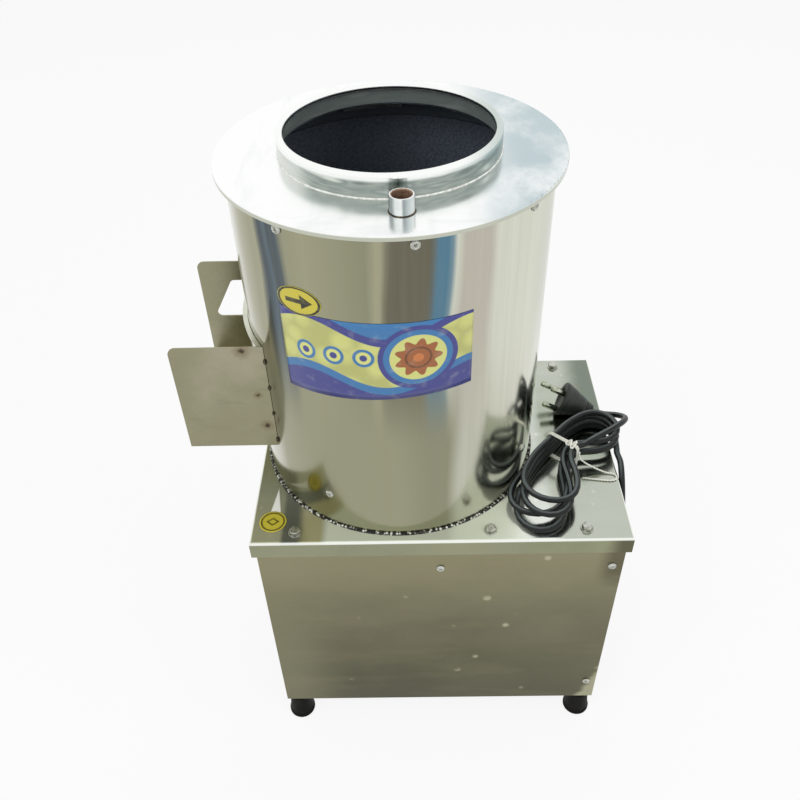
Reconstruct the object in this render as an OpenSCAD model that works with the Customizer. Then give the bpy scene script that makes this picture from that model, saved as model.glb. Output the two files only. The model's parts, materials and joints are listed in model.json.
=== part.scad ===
// Drum peeling machine on a sheet-steel base, sizes in millimetres, Z up, floor at zero

/* [Base] */
// Width of the cover over its side skirts
base_w = 400; // [394:1:450]
// Depth of the cover over its front and rear skirts
base_d = 298; // [292:1:340]
// Height from the panels' lower edge to the top of the cover
base_h = 318; // [300:1:380]
// Height of the rubber feet
foot_h = 45; // [32:1:70]
// Diameter of a foot where it meets the base
foot_top_d = 24; // [20:1:25]
// Diameter of a foot on the floor
foot_bottom_d = 33; // [26:1:40]
// Depth of the cover's turned-down skirt
skirt_h = 22; // [14:1:34]
// Outside radius of the cover's bent edges
bend_r = 3; // [2.2:0.1:5]
// Distance of the panels behind the skirt's outer face
panel_back = 4.4; // [3:0.1:7]
// Thickness of the cover, the panels and the chute
sheet_t = 1.5; // [1:0.1:2]
// Leg of the corner posts and rails
angle_leg = 25; // [25:1:32]
// Thickness of the posts and rails
angle_t = 3; // [2:0.5:4]

/* [Drum] */
// Outside diameter of the drum
drum_d = 301; // [280:1:306]
// Height from the cover to the top of the flange
drum_h = 358; // [320:1:420]
// Drum axis, left and right of the base's middle
drum_x = -43; // [-48:1:-40]
// Drum axis, behind the base's middle
drum_y = 13; // [4:1:16]
// Thickness of the drum wall
wall_t = 1.5; // [1:0.1:2]
// How far the flange stands out past the drum wall
flange_over = 9; // [6:0.5:16]
// Thickness of the flange
flange_t = 1.5; // [1:0.1:2.5]
// Depth of the flange's hem
hem_h = 5; // [3:0.5:9]
// Outside diameter of the feed collar
collar_d = 202; // [170:1:204]
// Height of the feed collar
collar_h = 21; // [14:1:40]
// Diameter of the collar's rolled rim
rim_d = 7; // [4:0.5:9]
// Thickness of the abrasive liner
liner_t = 3; // [2:0.5:5]
// Distance of the liner's upper edge below the flange's inner skirt
liner_drop = 8; // [2:1:100]
// Outside diameter of the water inlet pipe
inlet_d = 21.3; // [17:0.1:26]
// Bore of the water inlet pipe
inlet_bore = 15.8; // [10:0.1:16]
// Height of the inlet pipe above the flange
inlet_h = 15; // [10:1:40]
// Outside diameter of the drain spout
drain_d = 34; // [33:1:38]
// Bore of the drain spout
drain_bore = 30; // [22:1:31]
// Length of the drain spout outside the drum
drain_len = 42; // [30:1:70]

/* [Chute] */
// Clear width between the two cheeks
chute_w = 154; // [130:1:164]
// Middle of the chute from the drum axis, along the depth
chute_shift = -4; // [-8:1:8]
// Lower edge of the cheeks above the cover
cheek_z = 66; // [64:1:90]
// Height of the cheeks
cheek_h = 130; // [110:1:150]
// Outer edge of the cheeks from the drum axis
cheek_reach = 219; // [205:1:240]
// Corner radius of the cheeks
cheek_r = 8; // [3:1:14]
// Fall of the chute floor towards its outer edge
floor_fall = 7; // [2:1:12]
// Thickness of the gate
gate_t = 1.5; // [1:0.1:2.5]
// Width of the gate's upper lip
gate_lip = 4.5; // [3:0.5:8]
// Travel of the gate
gate_travel = 105; // [60:1:108]

/* [Drive] */
// Diameter of the drum shaft
shaft_d = 20; // [18:1:22]
// Diameter of the peeling disc
disc_d = 282; // [240:1:284]
// Thickness of the peeling disc
disc_t = 8; // [6:1:10]
// Number of waves on the disc
wave_count = 3; // [2:1:5]
// Height of the waves
wave_h = 8; // [4:1:12]
// Outside diameter of the pulley on the drum shaft
big_pulley_d = 190; // [150:1:200]
// Outside diameter of the motor pulley
small_pulley_d = 56; // [50:1:70]
// Distance between the drum shaft and the motor shaft
belt_centres = 150; // [144:1:152]
// Diameter of the motor
motor_d = 112; // [96:1:116]
// Length of the motor's stator
stator_l = 96; // [70:1:100]
// Diameter of the motor shaft
motor_shaft_d = 14; // [11:1:16]

/* [Lead] */
// Diameter of the mains lead
cord_d = 6.8; // [6:0.1:7]
// Diameter of the twine
twine_d = 2.2; // [1.6:0.1:2.4]
// Diameter of the plug's pin face
plug_d = 44; // [42:1:48]
// Length of the plug body
plug_l = 40; // [34:1:44]

/* [Hidden] */
$fn = 64;

// Clearances
run_gap = 0.05;
fit_gap = 0.02;
hole_gap = 0.2;
slide_gap = 0.4;
join_gap = 0.3;

// Levels
cover_z = foot_h + base_h;
under_z = cover_z - sheet_t;
panel_x = base_w / 2 - panel_back;
panel_y = base_d / 2 - panel_back;
in_x = panel_x - sheet_t;
in_y = panel_y - sheet_t;
plate_t = 4;
tab_l = 62;
tab_w = 32;
bridge_t = 3;
bridge_x0 = drum_x - 80;
bridge_leg = 60;

// Fasteners
bolt_d = 6;
bolt_af = 10;
bolt_head = 4;
bolt_grip = sheet_t + plate_t;
bolt_x = base_w / 2 - 47;
bolt_y = base_d / 2 - 14.5;
screw_d = 5;
screw_head = 9.5;
screw_drop = 50;
screw_rise = 36;
screw_edge = in_x - 10;
foot_x = in_x - angle_leg / 2;
foot_y = in_y - angle_leg / 2;
stud_d = 8;
stud_z = 14;

// Drum
drum_r = drum_d / 2;
drum_in = drum_r - wall_t;
base_t = 2;
shell_z0 = cover_z + base_t;
flange_z = cover_z + drum_h;
shell_z1 = flange_z - flange_t;
flange_r = drum_r + flange_over;
collar_r = collar_d / 2;
collar_in = collar_r - sheet_t;
mouth_r = collar_r - rim_d;
ring_h = 50;
ring_t = 2;
drum_screw_z = cover_z + 44;
flange_screw_z = flange_z - 14;
drum_screw_a = [-118, -28, 62, 152];
flange_screw_n = 8;
flange_screw_a0 = -82;
flange_skirt = 24;
flange_tab_a = 24;
liner_z = shell_z0 + ring_h + 2;
liner_h = flange_z - flange_skirt - liner_drop - liner_z;
bead_out = 4.5;
bolt_clear = drum_d / 2 + bead_out + bolt_af / 2 + 2.5;
mid_bolts = [[max(drum_x + 95, bolt_by(-bolt_y)), -bolt_y], [max(drum_x + 112, bolt_by(bolt_y)), bolt_y]];
bridge_x1 = max(mid_bolts[0][0], mid_bolts[1][0]) + 13;
inlet_x = drum_x + 11;
inlet_y = drum_y - 121;
drain_root_d = drain_d + 3;
drain_root_l = 2.5;
drain_z = shell_z0 + drain_d / 2 + 3;

// Chute
chute_y = drum_y + chute_shift;
half_w = chute_w / 2;
cheek_z0 = cover_z + cheek_z;
cheek_z1 = cheek_z0 + cheek_h;
cheek_x = drum_x - cheek_reach;
floor_z = cheek_z0 + sheet_t + floor_fall;
gate_r = drum_r + slide_gap;
gate_z0 = floor_z + 0.5;
corner_n = 5;
guide_w = 10;
guide_t = 4;
guide_z1 = cheek_z1 - 8;
handle_z = gate_z0 + 24;

// Drive
bearing_od = shaft_d + 27;
bearing_w = 14;
house_r = bearing_od / 2 + 8;
house_z1 = cover_z + base_t + 4;
house_flange_r = house_r + 22;
house_flange_t = 10;
house_flange_z = under_z - bridge_t;
house_z0 = house_flange_z - 70;
house_bolt_r = house_r + 12;
belt_z = house_z0 - 27;
pulley_t = 20;
motor_x = drum_x + belt_centres;
motor_y = drum_y;
mplate_t = 6;
mplate_z1 = belt_z - 20;
mplate_z0 = mplate_z1 - mplate_t;
mplate_w = 112;
mflange_t = 14;
mbolt_r = motor_d / 2 - 10;
mflange_z0 = mplate_z0 - mflange_t;
stator_z0 = mflange_z0 - stator_l;
bell_t = 16;
cowl_h = 34;
neck_z1 = cover_z + 36;
seal_h = 8;
neck_in = 21;
disc_z0 = cover_z + 54;
disc_z1 = disc_z0 + disc_t;
hub_z0 = neck_z1 + 4;
shaft_z0 = belt_z - 16;
shaft_top = disc_z1 + 15;
thread_d = 16;
dbolt_d = 8;
dbolt_af = 13;
dbolt_head = 5.3;
belt_h = 8;
belt_wo = 12;
belt_wi = 8;
big_r = big_pulley_d / 2 - belt_h / 2 - 1;
small_r = small_pulley_d / 2 - belt_h / 2 - 1;
belt_a = acos((big_r - small_r) / belt_centres);
belt_run = sqrt(pow(belt_centres, 2) - pow(big_r - small_r, 2));

// Mains lead, points in millimetres from the right edge of the cover and from its top
edge_x = base_w / 2;
gland_y = motor_y + motor_d / 2 + 20;
gland_z = mflange_z0 - 40 - cover_z;
gland_out = 22;
gland_x = panel_x - edge_x;
lead_out = [[15.5, -3.6, -1.5], [27, -14, -5.5], [31, -29.5, -10.5]];
lead_pts = concat(
    [[gland_x + gland_out, gland_y, gland_z], [gland_x + gland_out + cord_d, gland_y, gland_z]],
    [for (p = lead_out) [gland_x + gland_out + cord_d + p[0], gland_y + p[1], gland_z + p[2]]],
    [[53.5, 43, -194], [51.5, 26, -191], [48.5, 9, -183], [45, -8, -171], [41, -25, -155], [36, -41, -136],
    [28.5, -57, -112], [19, -70, -84], [10.5, -77.5, -56], [5.5, -77, -31], [4.5, -67.5, -13], [5, -54, -2.5],
    [5.6, -40, 2.2]]);

// Hank: one loop in each of four layers, front lobe, waist and rear lobe
hank_x = -62.4;
hank_y = -33;
hank_front_a = 254;
hank_rear_a = 203;
hank_arc = 35.5;
hank_tau0 = 0.46;
hank_tau1 = 4.3;
hank_ease = 15.8;
hank_round = 0.246;
hank_late = 0.045;
layer_h = cord_d + 0.6;
waist_in = cord_d + 1.2;
waist_step = cord_d + 1.6;
front_len = [112, 112, 98, 102, 88];
front_side = [0, 0, -0.13, 0.085, 0.105];
front_wide = 51.7;
rear_len = [76.5, 74.6, 74, 75.2, 74.2];
rear_wide = 44.5;
hank_lift = twine_d + 0.3;
hank_rings = 24;
hank_kappa = (hank_front_a - hank_rear_a) / (2 * hank_arc);
hank_mid = (hank_front_a + hank_rear_a) / 2;

// Plug, lying on its tapered side
plug_tail_d = 15;
plug_rear = [-14, 41];
plug_dir = 167;
plug_tilt = atan((plug_d - plug_tail_d) / 2 / plug_l);
plug_axis = [cos(plug_dir) * cos(plug_tilt), sin(plug_dir) * cos(plug_tilt), sin(plug_tilt)];
plug_rear_z = plug_tail_d / 2 * cos(plug_tilt) + 0.05;
pin_d = 7;
earth_d = 8.6;
pin_l = 18;
earth_l = 26;
pin_gap = 23;
earth_off = 25;
tail_mid = [[-28, -32.5, 31.2], [-13, -25, 33.9], [0, -16.5, 34.3], [11, -5, 30.8], [17.5, 8, 24], [18, 21, 15.5],
    [12.5, 31.5, 8.6], [3, 37.2, 4.7]];

// Twine
tie_turns = 2;
tie_in_l = waist_in + waist_step / 2 + cord_d / 2 + 0.7;
tie_in_r = waist_in + waist_step + cord_d / 2 + 0.7;
tie_top = cord_d + 3 * layer_h + hank_lift + 0.5;
tie_corner = 4;
tie_foot = twine_d + 0.2 + tie_corner;
tie_side = tie_in_r + 1.5 * twine_d + 0.3;
tie_x = hank_x - tie_side * sin(hank_mid);
tie_y = hank_y + tie_side * cos(hank_mid);
tie_lie = twine_d / 2 + 0.15;
tie_pts = [[tie_x, tie_y, 27], [tie_x, tie_y, 23], [tie_x + 1.1, tie_y - 0.3, 18.6], [-40, -50, 14.6],
    [-34, -51.5, 10.6], [-25, -53.5, 6], [-16, -55.4, 2.6], [-11, -56.4, tie_lie + 0.25], [-7.2, -57.2, tie_lie],
    [-4.1, -58.9, tie_lie], [-2.8, -62.3, tie_lie], [-4.1, -65.7, tie_lie], [-7.2, -67.4, tie_lie],
    [-13, -67.6, tie_lie], [-22, -66.3, tie_lie], [-31, -64.8, tie_lie], [-40, -63.2, tie_lie]];

function bolt_by(y) = drum_x + sqrt(max(0, pow(bolt_clear, 2) - pow(y - drum_y, 2)));
function unit(v) = v / norm(v);
function on_edge(p) = [edge_x + p[0], p[1], cover_z + p[2]];

// Smooth curve through points
function spline_at(a, b, c, e, t) = 0.5 * (2 * b + (c - a) * t + (2 * a - 5 * b + 4 * c - e) * t * t
    + (3 * b - a - 3 * c + e) * t * t * t);
function spline(p, m) = let (n = len(p)) concat([for (i = [0:n - 2]) for (k = [0:m - 1])
    spline_at(p[max(i - 1, 0)], p[i], p[i + 1], p[min(i + 2, n - 1)], k / m)], [p[n - 1]]);

// Hank centre line
function smooth(t) = let (c = min(1, max(0, t))) c * c * (3 - 2 * c);
function hank_phi(t) = 360 * t + hank_ease * sin(720 * t);
function hank_fold(t) = let (q = (t - 0.25) / 2, f = q - floor(q)) f < 0.5 ? 1 - 2 * f : 2 * f - 1;
function hank_layer(t) = smooth((t - 1 - hank_late) * 2) + smooth((t - 2 - hank_late) * 2)
    + smooth((t - 3 - hank_late) * 2);
function arc_pt(s) = 180 / PI / hank_kappa * [sin(hank_mid + hank_kappa * s) - sin(hank_mid),
    cos(hank_mid) - cos(hank_mid + hank_kappa * s)];
function axis_pt(s) = s > hank_arc ? arc_pt(hank_arc) + (s - hank_arc) * [cos(hank_front_a), sin(hank_front_a)]
    : s < -hank_arc ? arc_pt(-hank_arc) + (s + hank_arc) * [cos(hank_rear_a), sin(hank_rear_a)] : arc_pt(s);
function axis_dir(s) = hank_mid + hank_kappa * min(hank_arc, max(-hank_arc, s));
function hank_s(t) = let (c = cos(hank_phi(t))) c > 0 ? front_len[round(t)] * c : rear_len[floor(t)] * c;
function hank_v(t) = let (p = hank_phi(t), c = cos(p), s = hank_s(t), a = waist_in + waist_step * hank_fold(t))
    sin(p) * (a + (c > 0 ? front_wide : rear_wide) * (sqrt(c * c + hank_round * hank_round) - hank_round))
    + (s > 0 ? front_side[round(t)] * s * s / (s + 30) : 0);
function hank_pt(t) = let (s = hank_s(t), v = hank_v(t), d = axis_dir(s), q = axis_pt(s))
    [hank_x + q[0] - v * sin(d), hank_y + q[1] + v * cos(d),
    cord_d / 2 + 0.1 + layer_h * hank_layer(t) + hank_lift * exp(-pow(s / 20, 2))];
hank_n = ceil((hank_tau1 - hank_tau0) * hank_rings);
hank_line = [for (i = [0:hank_n]) on_edge(hank_pt(hank_tau0 + (hank_tau1 - hank_tau0) * i / hank_n))];
hank_in = unit(hank_line[1] - hank_line[0]);
hank_out = unit(hank_line[hank_n] - hank_line[hank_n - 1]);
hank_path = concat([hank_line[0] - hank_in * cord_d], hank_line, [hank_line[hank_n] + hank_out * cord_d]);

lead_path = concat(spline(concat([for (p = lead_pts) on_edge(p)], [hank_path[0] - hank_in * cord_d,
    hank_path[0]]), 2));
plug_back = [edge_x + plug_rear[0], plug_rear[1], cover_z + plug_rear_z];
tail_end = plug_back - plug_axis * cord_d;
tail_line = spline(concat([hank_line[hank_n], hank_path[hank_n + 2]], [for (p = tail_mid) on_edge(p)],
    [tail_end, plug_back]), 3);
tail_path = concat([tail_line[3], tail_line[3] + hank_out * 1.2], [for (i = [4:len(tail_line) - 1]) tail_line[i]]);
tie_path = spline([for (p = tie_pts) on_edge(p)], 2);
inner_x0 = motor_x + 22;
inner_x1 = panel_x - sheet_t - 9;
inner_n = 6;
inner_path = [for (i = [0:inner_n]) [inner_x0 + (inner_x1 - inner_x0) * i / inner_n, gland_y, cover_z + gland_z]];

// Least gap between the hank's turns, from its centre line
hank_gap = min([for (i = [0:hank_n - 12]) for (k = [i + 10:hank_n]) norm(hank_line[i] - hank_line[k])]) - cord_d;
echo(hank_gap = hank_gap);

// Round tube along points
function tangent(p, i) = unit(p[min(i + 1, len(p) - 1)] - p[max(i - 1, 0)]);
function sides_of(t) = [for (i = 0, s = unit(cross(t[0], [0.31, 0.22, 0.93])); i < len(t); i = i + 1,
    s = i < len(t) ? unit(s - (s * t[i]) * t[i]) : s) s];
module tube(p, d, n) {
    m = len(p);
    t = [for (i = [0:m - 1]) tangent(p, i)];
    s = sides_of(t);
    v = [for (i = [0:m - 1]) for (k = [0:n - 1])
        p[i] + d / 2 * (cos(360 * k / n) * s[i] + sin(360 * k / n) * cross(t[i], s[i]))];
    f = concat([[for (k = [0:n - 1]) k]], [[for (k = [n - 1:-1:0]) (m - 1) * n + k]],
        [for (i = [0:m - 2]) for (k = [0:n - 1])
        [i * n + k, (i + 1) * n + k, (i + 1) * n + (k + 1) % n, i * n + (k + 1) % n]]);
    polyhedron(v, f);
}

module box(a, b) {
    translate(a)
        cube(b - a);
}

module corners() {
    for (sx = [0, 1], sy = [0, 1])
        mirror([sx, 0, 0])
            mirror([0, sy, 0])
                children();
}

module at_drum() {
    translate([drum_x, drum_y, 0])
        children();
}

module hex(af, h) {
    cylinder(d = af / cos(30), h = h, $fn = 6);
}

module cover_bolt_spots() {
    corners()
        translate([bolt_x, bolt_y, 0])
            children();
    for (p = mid_bolts)
        translate([p[0], p[1], 0])
            children();
}

// Screw places on the panels, each with the screw's axis pointing out
module panel_screw_spots() {
    for (p = [[0, cover_z - screw_drop], [screw_edge, cover_z - screw_drop], [screw_edge, foot_h + screw_rise]])
        translate([p[0], -panel_y, p[1]])
            rotate([90, 0, 0])
                children();
    for (x = [-screw_edge, 0, screw_edge])
        translate([x, panel_y, cover_z - screw_drop])
            rotate([-90, 0, 0])
                children();
    for (sx = [0, 1], y = [-in_y + 10, in_y - 10])
        mirror([sx, 0, 0])
            translate([panel_x, y, cover_z - screw_drop])
                rotate([0, 90, 0])
                    children();
}

module drum_screw_spots() {
    for (a = drum_screw_a)
        translate([drum_x, drum_y, drum_screw_z])
            rotate([0, 0, a])
                translate([drum_r, 0, 0])
                    rotate([0, 90, 0])
                        children();
    for (i = [0:flange_screw_n - 1])
        translate([drum_x, drum_y, flange_screw_z])
            rotate([0, 0, flange_screw_a0 + 360 * i / flange_screw_n])
                translate([drum_r, 0, 0])
                    rotate([0, 90, 0])
                        children();
}

module screw_holes() {
    translate([0, 0, -12])
        cylinder(d = screw_d + 2 * hole_gap, h = 14);
}

module bolt_holes() {
    translate([0, 0, under_z - 10])
        cylinder(d = bolt_d + 2 * hole_gap, h = 20);
}

// Base
module frame_posts() {
    color("DimGray")
        difference() {
            corners()
                union() {
                    box([in_x - angle_leg, in_y - angle_leg, foot_h], [in_x, in_y, foot_h + plate_t]);
                    box([in_x - angle_leg, in_y - angle_t, foot_h], [in_x, in_y, under_z]);
                    box([in_x - angle_t, in_y - angle_leg, foot_h], [in_x, in_y, under_z]);
                    box([in_x - tab_l, in_y - tab_w, under_z - plate_t], [in_x, in_y, under_z]);
                }
            cover_bolt_spots()
                bolt_holes();
            panel_screw_spots()
                screw_holes();
            corners()
                translate([foot_x, foot_y, foot_h - 1])
                    cylinder(d = stud_d + 2 * hole_gap, h = plate_t + 2);
        }
}

module lower_rails() {
    color("DimGray")
        corners() {
            box([0, in_y - angle_t, foot_h], [in_x - angle_leg, in_y, foot_h + angle_leg]);
            box([0, in_y - angle_leg, foot_h], [in_x - angle_leg, in_y, foot_h + angle_t]);
            box([in_x - angle_t, 0, foot_h], [in_x, in_y - angle_leg, foot_h + angle_leg]);
            box([in_x - angle_leg, 0, foot_h], [in_x, in_y - angle_leg, foot_h + angle_t]);
        }
}

module motor_rails() {
    color("DimGray")
        difference() {
            corners() {
                box([0, in_y - angle_t, mplate_z0 - angle_leg], [in_x - angle_leg, in_y, mplate_z0]);
                box([0, in_y - angle_leg, mplate_z0 - angle_t], [in_x - angle_leg, in_y, mplate_z0]);
            }
            drive_bolt_spots()
                drive_bolt_hole();
        }
}

module front_panel() {
    color("Tan")
        difference() {
            box([-panel_x, -panel_y, foot_h], [panel_x, -in_y, under_z]);
            panel_screw_spots()
                screw_holes();
        }
}

module rear_panel() {
    color("Tan")
        difference() {
            box([-panel_x, in_y, foot_h], [panel_x, panel_y, under_z]);
            panel_screw_spots()
                screw_holes();
        }
}

module left_panel() {
    color("Tan")
        difference() {
            box([-panel_x, -in_y, foot_h], [-in_x, in_y, under_z]);
            panel_screw_spots()
                screw_holes();
        }
}

module right_panel() {
    color("Tan")
        difference() {
            box([in_x, -in_y, foot_h], [panel_x, in_y, under_z]);
            panel_screw_spots()
                screw_holes();
            translate([panel_x, gland_y, cover_z + gland_z])
                rotate([0, 90, 0])
                    cylinder(d = 16 + 2 * hole_gap, h = 20, center = true);
        }
}

// Turned-down sheet seen from its end
module pan_end(w, drop, r) {
    translate([-w / 2, -drop])
        square([w, drop - r]);
    translate([r - w / 2, -r - 1])
        square([w - 2 * r, r + 1]);
    for (s = [-1, 1])
        translate([s * (w / 2 - r), -r])
            circle(r);
}

module pan(w, d, drop, r) {
    intersection() {
        rotate([90, 0, 0])
            linear_extrude(2 * d, center = true)
                pan_end(w, drop, r);
        rotate([90, 0, 90])
            linear_extrude(2 * w, center = true)
                pan_end(d, drop, r);
    }
}

module top_cover() {
    color("LightGray")
        difference() {
            translate([0, 0, cover_z])
                pan(base_w, base_d, skirt_h, bend_r);
            translate([0, 0, under_z])
                pan(base_w - 2 * sheet_t, base_d - 2 * sheet_t, skirt_h, bend_r - sheet_t);
            cover_bolt_spots()
                bolt_holes();
            at_drum()
                translate([0, 0, under_z - 1])
                    cylinder(r = house_r + join_gap, h = sheet_t + 2);
        }
}

module cover_bolts() {
    color("Silver")
        cover_bolt_spots() {
            translate([0, 0, cover_z])
                cylinder(d = bolt_af + 4, h = 1);
            translate([0, 0, cover_z + 1])
                hex(bolt_af, bolt_head);
            translate([0, 0, under_z - 12])
                cylinder(d = bolt_d, h = 12 + sheet_t + 1);
        }
}

module cover_nuts() {
    color("Silver")
        difference() {
            union() {
                corners()
                    translate([bolt_x, bolt_y, under_z - plate_t - 5])
                        hex(bolt_af, 5);
                for (p = mid_bolts)
                    translate([p[0], p[1], under_z - bridge_t - 5])
                        rotate([0, 0, 30])
                            hex(bolt_af, 5);
            }
            cover_bolt_spots()
                translate([0, 0, under_z - 14])
                    cylinder(d = bolt_d + 2 * fit_gap, h = 20);
        }
}

module panel_screws() {
    color("Silver")
        panel_screw_spots()
            union() {
                cylinder(d1 = screw_head, d2 = screw_head - 4, h = 2.6);
                translate([0, 0, -9])
                    cylinder(d = screw_d, h = 9.5);
            }
}

module foot() {
    color("Black")
        difference() {
            union() {
                translate([0, 0, 5])
                    cylinder(d1 = foot_bottom_d, d2 = foot_top_d, h = foot_h - 5);
                translate([0, 0, 1.5])
                    cylinder(d = foot_bottom_d, h = 3.6);
                cylinder(d1 = foot_bottom_d - 3, d2 = foot_bottom_d, h = 1.5);
            }
            translate([0, 0, -1])
                cylinder(d = stud_d + 2 * hole_gap, h = foot_h + 2);
            translate([0, 0, -1])
                cylinder(d = 18, h = stud_z + 1);
        }
}

module foot_front_left() {
    translate([-foot_x, -foot_y, 0])
        foot();
}

module foot_front_right() {
    translate([foot_x, -foot_y, 0])
        foot();
}

module foot_rear_left() {
    translate([-foot_x, foot_y, 0])
        foot();
}

module foot_rear_right() {
    translate([foot_x, foot_y, 0])
        foot();
}

module foot_bolts() {
    color("Silver")
        corners()
            translate([foot_x, foot_y, 0])
                union() {
                    translate([0, 0, stud_z - 5])
                        hex(13, 5);
                    translate([0, 0, stud_z - 1])
                        cylinder(d = stud_d, h = foot_h + plate_t + 10 - stud_z + 1);
                    translate([0, 0, foot_h + plate_t])
                        rotate([0, 0, 30])
                            hex(13, 6.5);
                }
}

// Drive
module drive_bolt_spots() {
    at_drum()
        for (a = [45:90:315])
            rotate([0, 0, a])
                translate([house_bolt_r, 0, house_flange_z - house_flange_t])
                    rotate([180, 0, 0])
                        children();
    translate([motor_x, motor_y, mplate_z1])
        for (a = [45:90:315])
            rotate([0, 0, a])
                translate([mbolt_r, 0, 0])
                    children();
    for (x = [-1, 1], y = [-1, 1])
        translate([motor_x + x * (mplate_w / 2 - 12), y * (in_y - angle_leg / 2 - 3), mplate_z1])
            children();
}

module drive_bolt_hole() {
    translate([0, 0, -15])
        cylinder(d = dbolt_d + 2 * hole_gap, h = 16);
}

module drive_bolts() {
    color("Silver")
        drive_bolt_spots()
            union() {
                hex(dbolt_af, dbolt_head);
                translate([0, 0, -12.5])
                    cylinder(d = dbolt_d, h = 13);
            }
}

module bearing_bridge() {
    color("DimGray")
        difference() {
            union() {
                box([bridge_x0, -in_y, house_flange_z], [bridge_x1, in_y, under_z]);
                box([bridge_x0, -in_y, under_z - bridge_leg], [bridge_x1, bridge_t - in_y, under_z]);
                box([bridge_x0, in_y - bridge_t, under_z - bridge_leg], [bridge_x1, in_y, under_z]);
            }
            at_drum()
                translate([0, 0, house_flange_z - 1])
                    cylinder(r = house_r + join_gap, h = bridge_t + 2);
            cover_bolt_spots()
                bolt_holes();
            panel_screw_spots()
                screw_holes();
            drive_bolt_spots()
                drive_bolt_hole();
        }
}

module bearing_housing() {
    color("Gray")
        difference() {
            at_drum()
                difference() {
                    union() {
                        translate([0, 0, house_z0])
                            cylinder(r = house_r, h = house_z1 - house_z0);
                        translate([0, 0, house_flange_z - house_flange_t])
                            cylinder(r = house_flange_r, h = house_flange_t);
                    }
                    translate([0, 0, house_z0 - 1])
                        cylinder(d = bearing_od - 10, h = house_z1 - house_z0 + 2);
                    translate([0, 0, house_z0 - 1])
                        cylinder(d = bearing_od + 2 * fit_gap, h = bearing_w + 1);
                    translate([0, 0, house_z1 - bearing_w])
                        cylinder(d = bearing_od + 2 * fit_gap, h = bearing_w + 1);
                }
            drive_bolt_spots()
                drive_bolt_hole();
        }
}

module shaft_bearings() {
    mid = (shaft_d + bearing_od) / 4;
    color("Silver")
        at_drum()
            for (z = [house_z0, house_z1 - bearing_w])
                translate([0, 0, z])
                    difference() {
                        cylinder(d = bearing_od, h = bearing_w);
                        translate([0, 0, -1])
                            cylinder(r = shaft_d / 2 + run_gap, h = bearing_w + 2);
                        for (f = [-1, bearing_w - 1.2])
                            translate([0, 0, f])
                                difference() {
                                    cylinder(r = mid + 4, h = 2.2);
                                    translate([0, 0, -1])
                                        cylinder(r = mid - 4, h = 5);
                                }
                    }
}

module shaft_seal() {
    color("Black")
        at_drum()
            translate([0, 0, neck_z1 - seal_h])
                difference() {
                    cylinder(r = neck_in - fit_gap, h = seal_h);
                    translate([0, 0, -1])
                        cylinder(r = shaft_d / 2 + run_gap, h = seal_h + 2);
                    translate([0, 0, seal_h - 2])
                        cylinder(r = shaft_d / 2 + 4, h = 3);
                }
}

// Drum
module drum_base() {
    color("Silver")
        at_drum()
            difference() {
                union() {
                    translate([0, 0, cover_z])
                        cylinder(r = drum_r, h = base_t);
                    translate([0, 0, cover_z + base_t + 4])
                        cylinder(r = house_r + 6, h = 3);
                    translate([0, 0, cover_z + base_t])
                        difference() {
                            cylinder(r = house_r + 6, h = 4);
                            translate([0, 0, -1])
                                cylinder(r = house_r + join_gap, h = 6);
                        }
                    translate([0, 0, cover_z + base_t + 6])
                        cylinder(r = neck_in + 3, h = neck_z1 - cover_z - base_t - 6);
                }
                translate([0, 0, cover_z - 1])
                    cylinder(r = house_r + join_gap, h = base_t + 1);
                translate([0, 0, cover_z])
                    cylinder(r = neck_in, h = neck_z1 - cover_z + 1);
            }
}

module outlet_cut(gap) {
    box([drum_x - drum_r - 30, chute_y - half_w - gap, floor_z - gap],
        [drum_x - 10, chute_y + half_w + gap, cheek_z1 - 6 + gap]);
}

module drum_shell() {
    color("LightSteelBlue")
        difference() {
            at_drum()
                translate([0, 0, shell_z0])
                    difference() {
                        cylinder(r = drum_r, h = shell_z1 - shell_z0);
                        translate([0, 0, -1])
                            cylinder(r = drum_in, h = shell_z1 - shell_z0 + 2);
                    }
            outlet_cut(0);
            drum_screw_spots()
                screw_holes();
            translate([drum_x, drum_y, drain_z])
                rotate([-90, 0, 0])
                    cylinder(d = drain_root_d + 2 * join_gap, h = drum_r + 10);
        }
}

module base_bead() {
    color("DarkGray")
        intersection() {
            at_drum()
                translate([0, 0, cover_z])
                    difference() {
                        cylinder(r1 = drum_r + bead_out, r2 = drum_r + 0.8, h = 4);
                        translate([0, 0, -1])
                            cylinder(r = drum_r + fit_gap, h = 6);
                    }
            box([-base_w / 2 + bend_r, -base_d / 2 + bend_r, cover_z - 1],
                [base_w / 2 - bend_r, base_d / 2 - bend_r, cover_z + 10]);
        }
}

module sump_ring() {
    color("Silver")
        difference() {
            at_drum()
                translate([0, 0, shell_z0])
                    difference() {
                        cylinder(r = drum_in - fit_gap, h = ring_h);
                        translate([0, 0, -1])
                            cylinder(r = drum_in - ring_t, h = ring_h + 2);
                    }
            drum_screw_spots()
                screw_holes();
            translate([drum_x, drum_y, drain_z])
                rotate([-90, 0, 0])
                    cylinder(d = drain_root_d + 2 * join_gap, h = drum_r + 10);
        }
}

module drum_screws() {
    color("Silver")
        drum_screw_spots()
            union() {
                cylinder(d1 = screw_head, d2 = screw_head - 4, h = 2.6);
                translate([0, 0, -5.5])
                    cylinder(d = screw_d, h = 6);
            }
}

module abrasive_liner() {
    color("DimGray")
        difference() {
            at_drum()
                translate([0, 0, liner_z])
                    difference() {
                        cylinder(r = drum_in - fit_gap, h = liner_h);
                        translate([0, 0, -1])
                            cylinder(r = drum_in - liner_t, h = liner_h + 2);
                    }
            outlet_cut(0);
        }
}

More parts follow.
